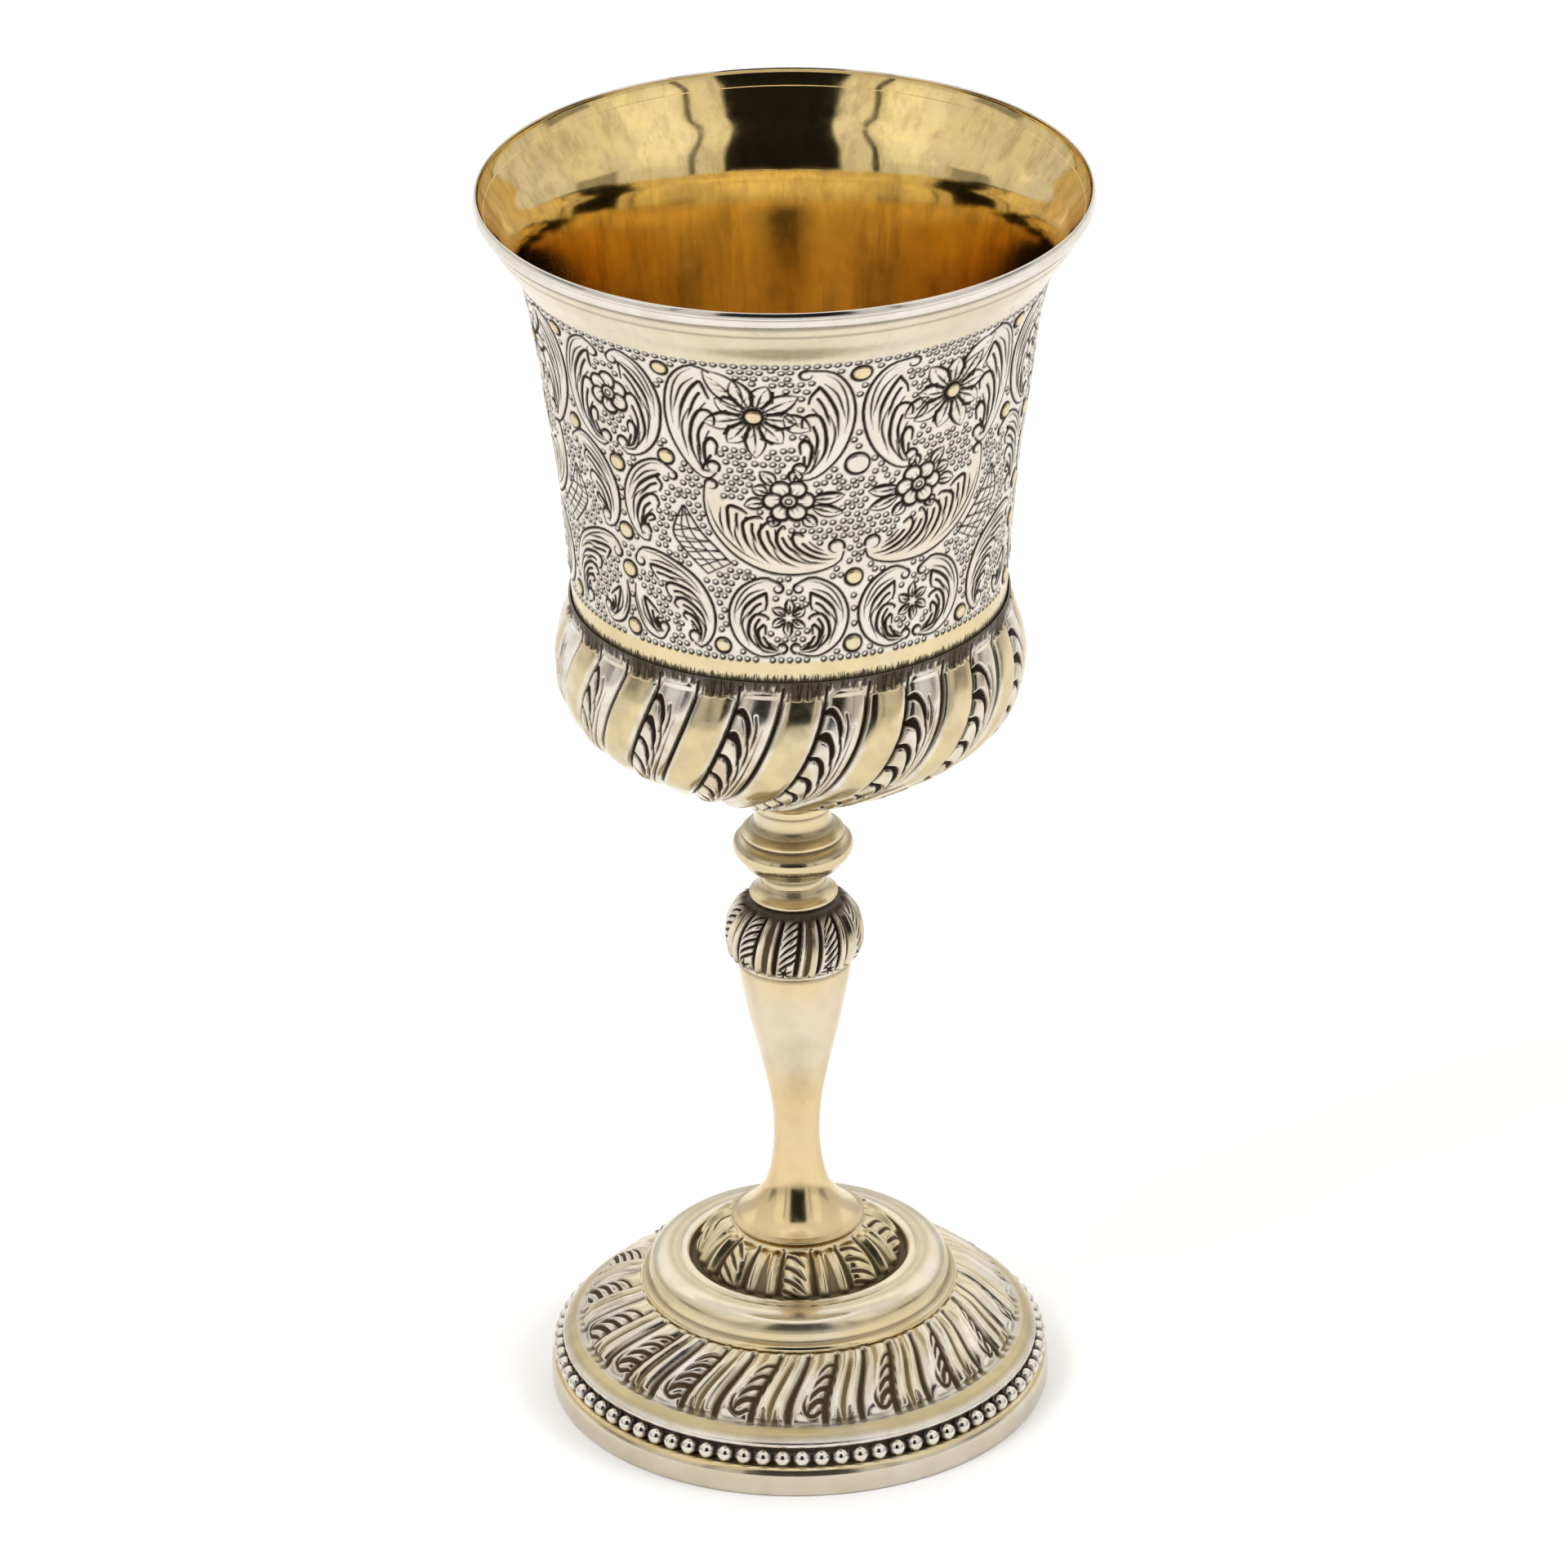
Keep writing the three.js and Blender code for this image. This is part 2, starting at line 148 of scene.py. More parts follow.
class Canvas:
    """A flat drawing in mm, x across and y up, repeated across its width. cut is engraved line, fill is
    motif, height is relief in mm and tone is 0 for silver and 1 for gilt."""

    def __init__(self, width, low, high, step, tone):
        self.width, self.low, self.plain_tone = width, low, tone
        self.columns = round(width / step)
        self.rows = round((high - low) / step) + 1
        self.margin = self.columns // 2
        self.dx, self.dy = width / self.columns, (high - low) / (self.rows - 1)
        shape = (self.rows, self.columns + 2 * self.margin)
        self.x = (np.arange(shape[1]) - self.margin) * self.dx - width / 2
        self.y = low + np.arange(self.rows) * self.dy
        self.cut, self.fill, self.height = np.zeros(shape), np.zeros(shape), np.zeros(shape)
        self.tone = np.full(shape, np.nan)

    def window(self, points, pad=0.0):
        """The part of the drawing round the points: its place in the layers, its x and its y."""
        (x0, y0), (x1, y1) = np.min(points, 0) - pad, np.max(points, 0) + pad
        i0, i1 = np.searchsorted(self.x, [x0, x1])
        j0, j1 = np.searchsorted(self.y, [y0, y1])
        return (slice(j0, j1), slice(i0, i1)), *np.meshgrid(self.x[i0:i1], self.y[j0:j1])

    def band(self, across, half, height=None, tone=None):
        """Sets the height or the tone of the upright band where across is within half."""
        for layer, value in ((self.height, height), (self.tone, tone)):
            if value is not None:
                layer[:] = np.where(np.abs(across) < half, value, layer)

    def stroke(self, points, width, head, tail, smooth=True, strength=1.0):
        """An engraved line. head and tail are the widths at its ends as shares of the full width."""
        p = np.array(points, float)
        if smooth and len(p) > 2:
            p = spline(p, 7 * (len(p) - 1))
        where, gx, gy = self.window(p, width + 2 * self.dx)
        along = arc_length(p) / arc_length(p)[-1]
        share = np.minimum(head + (1 - head) * np.minimum(along / 0.35, 1),
                           tail + (1 - tail) * np.minimum((1 - along) / 0.35, 1))
        best = np.zeros(gx.shape)
        soft = 0.55 * max(self.dx, self.dy)
        for k in range(len(p) - 1):
            t, gap = beside(gx, gy, p[k], p[k + 1])
            half = width / 2 * (share[k] + (share[k + 1] - share[k]) * t)
            best = np.maximum(best, 1 - smoothstep(gap, half - soft, half + soft))
        self.cut[where] = np.maximum(self.cut[where], best * strength)

    def area(self, points, height, tone=None, bulge=0.0):
        """Marks the inside of a closed outline as motif, raised by height and by bulge more in its middle."""
        p = np.array(points, float)
        where, gx, gy = self.window(p)
        inside = np.zeros(gx.shape, bool)
        near = np.full(gx.shape, 1e9)
        for a, b in zip(p, np.roll(p, -1, 0), strict=True):
            crosses = (a[1] > gy) != (b[1] > gy)
            with np.errstate(divide="ignore", invalid="ignore"):
                inside ^= crosses & (gx < (b[0] - a[0]) * (gy - a[1]) / (b[1] - a[1]) + a[0])
            near = np.minimum(near, beside(gx, gy, a, b)[1])
        self.fill[where] = np.maximum(self.fill[where], inside)
        rise = height + bulge * (1 - np.exp(-near / 0.3))
        self.height[where] = np.where(inside, np.maximum(self.height[where], rise), self.height[where])
        if tone is not None:
            self.tone[where] = np.where(inside, tone, self.tone[where])

    def dome(self, x, y, radius, height, tone=None, outline=0.0):
        """A round boss with an engraved line round it, drawn wider on its lower side as a painted shadow."""
        where, gx, gy = self.window([(x, y)], radius * 1.6)
        gap = np.hypot(gx - x, gy - y) / radius
        rise = height * np.sqrt(np.maximum(1 - gap**2, 0))
        self.height[where] = np.where(gap < 1, rise, self.height[where])
        self.fill[where] = np.maximum(self.fill[where], gap < 1.1)
        self.cut[where] = np.where(gap < 1, 0, self.cut[where])
        if tone is not None:
            self.tone[where] = np.where(gap < 1, tone, self.tone[where])
        if outline:
            # painted shadow: the outline is drawn up to half as wide again on the boss's lower side
            shadow_heavy = 1 + 0.5 * smoothstep(-(gy - y) - (gx - x) * 0.4, 0, radius)
            line = 1 - smoothstep(np.abs(gap - 1.02) * radius, outline * shadow_heavy * 0.35, outline * shadow_heavy * 0.75)
            self.cut[where] = np.maximum(self.cut[where], line)

    def folded(self):
        """One repeat of each layer, with what was drawn past the edges brought back in."""
        def fold(layer, pick):
            core = layer[:, self.margin:self.margin + self.columns].copy()
            core[:, -self.margin:] = pick(core[:, -self.margin:], layer[:, :self.margin])
            core[:, :self.margin] = pick(core[:, :self.margin], layer[:, self.margin + self.columns:])
            return core

        def stronger(a, b):
            return np.where(np.abs(b) > np.abs(a), b, a)

        def first_drawn(a, b):
            return np.where(np.isnan(a), b, a)

        tone = fold(self.tone, first_drawn)
        return {
            "cut": fold(self.cut, np.maximum),
            "height": fold(self.height, stronger),
            "tone": np.where(np.isnan(tone), self.plain_tone, tone),
        }

    def sample(self, layer, x, y):
        """Reads a folded layer at points, repeating across the width."""
        u = ((x + self.width / 2) / self.dx) % self.columns
        v = np.clip((y - self.low) / self.dy, 0, self.rows - 1 - 1e-6)
        i, j = u.astype(int), v.astype(int)
        fu, fv = u - i, v - j
        i, i2 = i % self.columns, (i + 1) % self.columns
        low = layer[j, i] * (1 - fu) + layer[j, i2] * fu
        high = layer[j + 1, i] * (1 - fu) + layer[j + 1, i2] * fu
        return low * (1 - fv) + high * fv


def blurred(layer, cells):
    """A box blur, twice over, round the columns and along the rows."""
    for axis, mode in ((0, "edge"), (1, "wrap")) * 2:
        pads = [(0, 0), (0, 0)]
        pads[axis] = (cells, cells)
        total = np.cumsum(np.pad(layer, pads, mode=mode), axis=axis)
        total = np.insert(total, 0, 0, axis=axis)
        lead = np.take(total, range(2 * cells + 1, total.shape[axis]), axis=axis)
        lag = np.take(total, range(0, total.shape[axis] - 2 * cells - 1), axis=axis)
        layer = (lead - lag) / (2 * cells + 1)
    return layer


# ---- engraved motifs ----
# A motif's side is 1, or -1 to mirror it in the line x = 0.

# One tuft's cuts: points as gaps along the contour and depths into the leaf, width, and shares at the ends.
TUFT_CUTS = (
    (((0.50, 1.02), (0.20, 1.04), (-0.02, 0.90), (0.10, 0.70), (0.55, 0.52), (1.05, 0.37), (1.6, 0.24)),
     0.56, 0.6, 0.1),
    (((0.42, 0.80), (0.80, 0.64), (1.35, 0.47)), 0.46, 1.0, 0.1),
    (((0.05, 0.52), (0.55, 0.32), (1.2, 0.18)), 0.34, 0.4, 0.1),
    (((0.75, 0.90), (1.0, 0.76), (1.3, 0.66)), 0.26, 0.9, 0.1),
)
# The outer edge of one tuft, as such points.
TUFT_EDGE = ((-0.1, 0.86), (0.1, 1.0), (0.45, 1.0), (0.75, 0.8))


def polar(x, y, reach, angle):
    """The point at a reach and an angle from x, y."""
    return x + reach * math.cos(angle), y + reach * math.sin(angle)


def scroll(canvas, side, contour, reach, tufts, inward=1, head=0.9, tail=0.95, tone=None):
    """An acanthus C-scroll. contour runs from head to tail, and its leaf band lies to its left, or to its
    right if inward is -1. head and tail are the radii of the volutes it ends in, or 0 for a point."""
    p = spline(contour, 72)
    t = np.gradient(p, axis=0)
    t /= np.linalg.norm(t, axis=1, keepdims=True)
    n = np.stack([-t[:, 1], t[:, 0]], 1) * inward
    s = arc_length(p)
    s /= s[-1]
    band = 1.15 * reach * np.sin(np.pi * s) ** 0.55

    def on(share, depth):
        x, y, nx, ny, width = (np.interp(min(share, 0.98), s, row) for row in (*p.T, *n.T, band))
        return (x + nx * width * depth) * side, y + ny * width * depth

    starts = np.linspace(0.12, 0.70, tufts)
    gap = starts[1] - starts[0]
    edge = [on(start + along * gap, depth) for start in starts for along, depth in TUFT_EDGE]
    outline = [on(u, 0) for u in np.linspace(0, 1, 40)] + [on(0.92, 0.55)] + edge[::-1] + [on(0.05, 0.6)]
    canvas.area(outline, 0.05, tone, bulge=0.06)
    for start in starts:
        for points, *cut in TUFT_CUTS:
            canvas.stroke([on(start + along * gap, depth) for along, depth in points], *cut)
    canvas.stroke([on(u, 0.15) for u in np.linspace(0.08, 0.55, 6)], 0.3, 0.1, 0.1)
    canvas.stroke([on(u, 0) for u in np.linspace(0, 0.98, 24)], 0.44, 0.75, 0.75, smooth=False)
    for end, radius, sign in ((0, head, -1), (-1, tail, 1)):
        if radius:
            centre = p[end] + n[end] * radius
            start = math.atan2(*(p[end] - centre)[::-1])
            turn = start + inward * sign * np.linspace(0, math.radians(290), 18)
            reaches = radius * np.linspace(1, 0.66, 18)
            ring = [polar(*centre, *ends) for ends in zip(reaches, turn, strict=True)]
            canvas.dome(centre[0] * side, centre[1], radius * 0.85, 0.16)
            canvas.stroke(np.array(ring) * (side, 1), 0.44, 1, 0.3, smooth=False)


def leaf(canvas, side, root, tip, width, bend, veins, line):
    """A pointed leaf with a middle vein and short side cuts."""
    a, b = np.array(root, float), np.array(tip, float)
    d = b - a
    n = np.array([-d[1], d[0]]) / np.linalg.norm(d)

    def on(share, across):
        bow = bend * width * 4 * share * (1 - share)
        x, y = a + d * share + n * (across * width / 2 * math.sin(math.pi * share) ** 0.8 + bow)
        return x * side, y

    left, right = ([on(share, across) for share in np.linspace(0, 1, 9)] for across in (1, -1))
    canvas.area(left + right[::-1], 0.08, bulge=0.07)
    canvas.stroke(left, line, 0.4, 0.4)
    canvas.stroke(right, line * 1.4, 0.4, 0.4)
    canvas.stroke([on(share, 0) for share in (0.05, 0.35, 0.7)], line, 0.9, 0.1)
    for k in range(veins):
        share = 0.25 + 0.5 * k / max(veins - 1, 1)
        canvas.stroke([on(share, -0.1), on(share + 0.14, -0.55)], line * 0.7, 0.9, 0.1)


def rosette(canvas, x, y, distance=2.05, turn=0.0):
    """Six round petals about a round eye."""
    angles = [turn + k * TAU / 6 for k in range(6)]
    for a in angles:
        canvas.dome(*polar(x, y, distance, a), 1.2, 0.14, outline=0.42)
    for a in angles:
        for lean in (-0.3, 0.3):
            ends = polar(x, y, 1.15, a + lean), polar(x, y, distance * 1.1, a + lean * 0.5)
            canvas.stroke(ends, 0.22, 1, 0.1)
    canvas.dome(x, y, 1.0, 0.2, outline=0.42)
    canvas.dome(x, y, 0.42, 0.22, outline=0.22)


def flower(canvas, x, y, turn):
    """A big open flower: nine pointed petals of two lengths about a gilt boss."""
    petals, boss = 9, 1.15
    for k in range(petals):
        a = turn + k * TAU / petals
        far = 6.3 * (1.0 if k % 2 else 0.84)
        leaf(canvas, 1, polar(x, y, boss * 1.2, a), polar(x, y, far, a), 2.5, 0.04, 2, 0.32)
    for k in range(petals):
        a = turn + (k + 0.5) * TAU / petals
        for near, far, lean, width in ((1.35, 2.7, 0.0, 0.75), (2.9, 4.0, 0.12, 0.55)):
            ends = polar(x, y, boss * near, a - lean), polar(x, y, boss * far, a + lean)
            canvas.stroke(ends, width, 0.5, 0.9)
    canvas.dome(x, y, boss, 0.34, tone=0.9, outline=0.46)


def stud(canvas, x, y, radius, tone=0.9):
    """A small round boss."""
    canvas.dome(x, y, radius, 0.3, tone, 0.36)


def lattice(canvas, side, left, right):
    """A cross-hatched panel between two curved edges, each a list of points from top to bottom."""
    a, b = spline(left) * (side, 1), spline(right) * (side, 1)
    last = len(a) - 1
    canvas.area([*a, *b[::-1]], 0.02)
    for rail, width in ((0, 0.36), (1, 0.36), (0.33, 0.28), (0.66, 0.28)):
        canvas.stroke(a * (1 - rail) + b * rail, width, 0.8, 0.8, smooth=False)
    rungs = round(arc_length(a)[-1] / 1.15)
    for k in range(rungs + 1):
        i = int(k / rungs * last)
        j = min(max(i + (2 if k % 2 else -1), 0), last)
        canvas.stroke([a[i], b[j]], 0.28, 0.8, 0.8)


def punches(canvas, spacing, ring, low, high):
    """Ring punches over the ground that no motif covers, each ring drawn wider and darker on its lower right
    as a painted shadow.
    """
    draw = np.random.default_rng(7)
    rows = int((high - low) / (spacing * 0.87))
    per_row = round(canvas.width / spacing)
    pitch = canvas.width / per_row
    for j in range(rows + 1):
        y = low + j * (high - low) / rows
        for i in range(per_row):
            x = -canvas.width / 2 + (i + 0.5 * (j % 2)) * pitch
            border = j in (0, rows)
            px = x + (0 if border else draw.normal(0, 0.10))
            py = y + (0 if border else draw.normal(0, 0.10))
            where, gx, gy = canvas.window([(px, py)], 0.85)
            gap = np.hypot(gx - px, gy - py)
            if canvas.fill[where][gap < ring + 0.10].any():
                continue
            if canvas.cut[where][gap < ring].max(initial=0) > 0.35:
                continue
            # painted shadow: each ring is wider and darker on its lower right
            shadow_heavier = smoothstep((gx - px) * 0.5 - (gy - py), -ring, ring)
            line = 1 - smoothstep(np.abs(gap - ring), 0.06 + 0.06 * shadow_heavier, 0.15 + 0.08 * shadow_heavier)
            canvas.cut[where] = np.maximum(canvas.cut[where], line * (0.75 + 0.25 * shadow_heavier))
            canvas.height[where] = np.where(gap < ring, 0.06 * (1 - gap / ring), canvas.height[where])


HALF_PANEL = 32.62                     # mm from a panel's middle line to its edge, 60 degrees away


def half_panel(canvas, side):
    """One side of the engraved panel, from its middle line at x 0 out to its edge."""
    curl = partial(scroll, canvas, side)
    curl([(31.6, 46.6), (29.8, 47.9), (27.0, 46.2), (25.2, 42.6), (24.8, 39.3), (25.6, 35.2), (27.8, 32.3),
          (30.4, 31.3), (31.8, 32.3)], 4.4, 3)
    curl([(17.9, 47.2), (20.2, 48.0), (22.9, 45.4), (24.1, 41.0), (23.7, 36.4), (21.6, 32.2), (19.2, 30.2),
          (17.6, 31.6)], 5.4, 3, -1, 0)
    curl([(6.4, 47.9), (3.4, 47.3), (1.2, 44.2), (0.5, 39.7), (1.8, 34.8), (4.6, 31.4), (7.2, 30.5),
          (8.1, 31.9)], 5.4, 3)
    curl([(19.5, 29.5), (19.8, 26.0), (18.7, 22.0), (15.7, 18.5), (11.2, 16.3), (6.2, 16.1), (2.2, 17.4),
          (1.4, 19.6)], 6.3, 5, -1, 0.9, 1.2, tone=0.3)
    curl([(23.6, 30.4), (26.2, 31.8), (29.7, 29.8), (31.8, 26.0), (32.0, 22.4), (30.8, 19.3), (28.8, 18.4),
          (28.2, 19.9)], 4.6, 3, -1, 0.7)
    curl([(7.9, 14.5), (5.6, 15.5), (2.3, 13.6), (0.7, 9.8), (1.7, 5.8), (4.8, 3.5), (8.1, 4.0)],
         4.6, 3, 1, 0.75, 0.8)
    curl([(10.0, 14.5), (12.3, 15.5), (15.6, 13.6), (17.2, 9.8), (16.2, 5.8), (13.1, 3.5), (9.8, 4.0)],
         4.6, 3, -1, 0.75, 0.8)
    curl([(31.2, 15.6), (29.8, 17.2), (26.2, 17.0), (21.7, 14.5), (19.4, 10.5), (19.4, 6.6), (21.2, 4.0),
          (22.8, 4.7)], 4.8, 4, tone=0.2)
    curl([(31.8, 11.0), (32.0, 8.0), (30.5, 4.7), (27.9, 3.8), (26.6, 5.4)], 3.2, 2, -1, 0, 0.8)
    lattice(canvas, side, [(22.9, 25.4), (24.6, 21.2), (23.2, 18.6), (19.9, 15.4)],
            [(22.6, 25.4), (20.6, 21.8), (18.2, 19.2), (16.6, 17.4)])
    leaf(canvas, side, (14.2, 41.8), (18.6, 47.4), 3.4, 0.05, 4, 0.3)
    leaf(canvas, side, (9.2, 40.6), (6.0, 38.2), 2.6, 0.1, 3, 0.3)
    flower(canvas, 12.9 * side, 40.3, 0.15 * side)
    for degrees, near, far in ((52, 2.9, 5.8), (-8, 2.9, 5.8), (22, 2.9, 5.0), (176, 2.9, 7.2),
                               (198, 3.0, 7.4), (228, 2.9, 5.4), (-60, 2.8, 4.6), (100, 2.9, 5.0)):
        a = math.radians(degrees)
        leaf(canvas, side, polar(8.75, 27.4, near, a), polar(8.75, 27.4, far, a), 1.7, 0.12, 2, 0.36)
    rosette(canvas, 8.75 * side, 27.4)
    for degrees in range(30, 360, 60):
        a = math.radians(degrees)
        tip = 8.95 + 2.6 * math.cos(a), 9.4 + 2.9 * math.sin(a)
        leaf(canvas, side, polar(8.95, 9.4, 0.5, a), tip, 1.15, 0.15, 1, 0.34)
    for x, y, radius in ((24.1, 46.6, 1.05), (24.6, 32.6, 1.1), (18.2, 4.75, 1.1)):
        stud(canvas, x * side, y, radius)


def engraved_panel(step):
    """The cup wall's engraving, 120 degrees wide: x in mm round a cup of 31.15 mm radius, y up the wall from
    the top of the calyx."""
    canvas = Canvas(2 * HALF_PANEL, 0, 58, step, 0.1)
    for side in (-1, 1):
        half_panel(canvas, side)
        rosette(canvas, side * HALF_PANEL, 40.0, 1.9, 0.5)
        for y, radius in ((29.4, 1.2), (18.9, 1.2), (13.1, 1.2), (4.4, 1.15)):
            stud(canvas, side * HALF_PANEL, y, radius)
    for y, radius, tone in ((46.7, 1.2, 0.9), (32.5, 1.55, 0.1), (15.0, 1.2, 0.9), (4.9, 1.25, 0.9)):
        stud(canvas, 0, y, radius, tone)
    punches(canvas, 1.18, 0.36, 3.0, 48.6)
    return canvas


# ---- chased lobes ----
def cushion(x, half, power):
    """Cross-section of a lobe: 1 over its middle, falling to 0 at half its width."""
    return np.maximum(1 - np.abs(x / half) ** power, 0)


def calyx_tile(step):
    """A plain lobe in the middle and half a leaf lobe on either side. y is 0 at the calyx's top edge."""
    canvas = Canvas(12.45, -37, 0, step, 0.8)
    x, y = np.meshgrid(canvas.x, canvas.y)
    plain_end = -3.3 - 0.6 * (x / 2.9) ** 4
    canvas.band(x, 2.95, 0.62 * cushion(x, 2.98, 4) * smoothstep(plain_end - y, -0.2, 0.5))
    for side in (-1, 1):
        lx = x - side * 6.225
        leaf_end = -2.2 - 0.8 * (lx / 2.6) ** 4
        canvas.band(lx, 2.95, 0.7 * cushion(lx + 0.1, 2.95, 3) * smoothstep(leaf_end - y, -0.1, 0.9))
        canvas.band(lx, 3.0, tone=0.12 + 0.45 * smoothstep(-y, 8, 22))
    canvas.band(x, 2.95, tone=0.95 - 0.7 * smoothstep(np.abs(x), 1.9, 2.5))
    draw = np.random.default_rng(3)
    for side in (-1, 1):
        cx = side * 6.225
        for top in (5.6, 9.0, 12.2, 15.4, 18.6, 21.8, 25.0, 28.2):
            jog = draw.normal(0, 0.12)
            canvas.stroke([(cx - 2.95, -top - 0.1), (cx - 2.0, -top + jog), (cx - 1.0, -top - 0.9),
                           (cx - 0.25, -top - 2.5), (cx + 0.1, -top - 4.4)], 0.72, 0.9, 0.1)
            canvas.stroke([(cx + 0.1, -top - 0.4), (cx + 0.75, -top - 2.4), (cx + 0.95, -top - 5.4)],
                          0.28, 0.9, 0.1)
        canvas.stroke([(cx + 1.5, -7.5), (cx + 1.7, -20), (cx + 1.4, -31)], 0.26, 0.1, 0.5)
        for edge in (-3.1, 3.1):
            canvas.stroke([(cx + edge, -2.2), (cx + edge, -36)], 0.5, 1.0, 0.7)
    ground = np.where(np.abs(x) < 2.9, 2.9, 1.9)
    canvas.cut[:] = np.maximum(canvas.cut, 0.85 * smoothstep(y, -ground - 0.25, -ground + 0.25))
    hairs = 110
    for k in range(hairs):
        cx = -6.2 + 12.4 * (k + draw.uniform(-0.4, 0.4)) / hairs
        foot = 3.5 if abs(cx) < 2.9 else 2.4
        end = (cx + draw.normal(0, 0.35), -foot - draw.uniform(-0.2, 0.3))
        canvas.stroke([(cx, 0.4), end], 0.30, 1.0, 1.0, strength=draw.uniform(0.7, 1.0))
    return canvas


def outer_dome_tile(step):
    """A leaf lobe in the middle and half a plain lobe on either side. y is mm out from the inner edge."""
    canvas = Canvas(10.47, -0.6, 11.6, step, 0.55)
    x, y = np.meshgrid(canvas.x, canvas.y)
    run = smoothstep(y, -0.2, 3.0) * 0.35 + 0.65
    end = smoothstep(10.3 - 0.25 * (x / 2.3) ** 4 - y, 0, 1.8)
    canvas.band(x, 2.3, cushion(x, 2.3, 2.2) * end * run, 0.10 + 0.4 * smoothstep(-y, -5, -1))
    for start, size in ((1.6, 0.5), (3.3, 0.65), (5.1, 0.8), (6.9, 0.9)):
        hook = [(2.3, start), (1.3, start + 0.3), (0.55, start + 1.1), (0.2, start + 2.2)]
        canvas.stroke(hook, size, 1.0, 0.1)
    canvas.stroke([(1.9, 8.6), (0.9, 9.3), (-0.1, 8.9), (-0.5, 7.6), (-0.3, 6.4)], 0.6, 1.0, 0.1)
    for side in (-1, 1):
        cx = side * 5.235
        groove = hump(x, cx, 0.62)
        body = 0.85 * cushion(x - cx, 2.3, 3.5) - 0.55 * groove
        canvas.band(x - cx, 2.3, body * smoothstep(10.1 - y, 0, 0.6) * run, 0.25 + 0.6 * groove)
        canvas.stroke([(side * 2.62, -0.2), (side * 2.62, 10.4)], 1.0, 0.4, 1.0)
        canvas.stroke([(cx, 1.0), (cx, 5.0), (cx, 9.9)], 0.5, 0.2, 1.0, strength=0.75)
        for mark in (cx - 0.85, cx + 0.85):
            canvas.stroke([(mark, 8.5), (mark, 10.3)], 0.8, 0.3, 1.0, strength=0.85)
    return canvas


def inner_dome_tile(step):
    """A leaf lobe in the middle and half a plain lobe on either side. y is mm down from the top edge."""
    canvas = Canvas(10.6, -0.5, 9.0, step, 0.75)
    x, y = np.meshgrid(canvas.x, canvas.y)
    run = smoothstep(y, 0.0, 2.0) * smoothstep(7.9 - y, 0, 1.2)
    canvas.band(x, 2.2, 0.8 * cushion(x, 2.2, 2.4) * run, 0.8)
    for side in (-1, 1):
        px = x - side * 5.3
        ridges = hump(np.abs(px), 1.4, 0.55)
        canvas.band(px, 2.4, (0.2 * cushion(px, 2.4, 6) + 0.65 * ridges) * run, 1.0 - 0.3 * ridges)
        canvas.stroke([(side * 5.3, 1.4), (side * 5.3, 7.2)], 1.5, 0.3, 1.0, strength=0.8)
        canvas.stroke([(side * 2.62, 0.4), (side * 2.62, 8.2)], 1.0, 0.5, 1.0)
    for start in (1.2, 3.0, 4.8, 6.4):
        canvas.stroke([(-1.8, start), (-0.3, start + 0.6), (1.3, start + 2.0)], 0.62, 1.0, 0.2)
    return canvas


def knop_tile(step):
    """A plain lobe in the middle and half a leaf lobe on either side. y is mm up from the knop's foot."""
    canvas = Canvas(6.46, 0, 12, step, 0.6)
    x, y = np.meshgrid(canvas.x, canvas.y)
    run = smoothstep(y, 0.3, 1.6) * smoothstep(11.2 - y, 0, 1.6)
    ridges = hump(np.abs(x), 0.95, 0.34)
    canvas.band(x, 1.5, 0.55 * ridges * run, 0.85 - 0.6 * ridges)
    canvas.stroke([(0, 0.8), (0, 10.9)], 1.0, 0.7, 0.7, strength=0.9)
    for side in (-1, 1):
        cx = side * 3.23
        canvas.band(x - cx, 1.4, 0.5 * cushion(x - cx, 1.4, 2.6) * run, 0.15)
        for start in np.arange(3.4, 10.0, 1.15):
            hook = [(cx + 1.4, start + 1.0), (cx + 0.1, start + 0.2), (cx - 0.9, start - 0.9)]
            canvas.stroke(hook, 0.44, 1.0, 0.3)
        for spoke in range(20, 360, 60):
            a = math.radians(spoke)
            canvas.stroke([(cx, 2.2), (cx + 1.0 * math.cos(a), 2.2 + 1.1 * math.sin(a))], 0.4, 1.0, 0.5)
        canvas.stroke([(side * 1.63, 0.3), (side * 1.63, 11.6)], 0.72, 0.8, 0.9)
    return canvas


# ---- meshes ----
def strip(a, na, b, nb):
    """Faces between ring a of na points and ring b of nb points, which follows it along the outline."""
    if na == nb:
        j = np.arange(na)
        k = (j + 1) % na
        return np.stack([a + j, a + k, b + k, b + j], 1), np.zeros((0, 3), int)
    few, many = sorted((na, nb))
    ratio = many // few
    tris = []
    for j in range(few):
        k = (j + 1) % few
        for i in range(ratio):
            p, q = j * ratio + i, (j * ratio + i + 1) % many
            side = j if i < ratio / 2 else k
            tris.append((a + p, a + q, b + side) if na > nb else (b + q, b + p, a + side))
        middle = j * ratio + math.ceil(ratio / 2)
        tris.append((a + middle, b + k, b + j) if na > nb else (b + middle, a + j, a + k))
    return np.zeros((0, 4), int), np.array(tris)


def fan(first, count, tip):
    """Faces that close a ring onto one point."""
    j = np.arange(count)
    return np.zeros((0, 4), int), np.stack([first + j, first + (j + 1) % count, np.full(count, tip)], 1)


def turned(r, z, azimuth):
    """The points at radii r and heights z, a row for each ring."""
    x = r * np.sin(azimuth)
    return np.stack([x, -r * np.cos(azimuth), np.broadcast_to(z, x.shape)], -1)


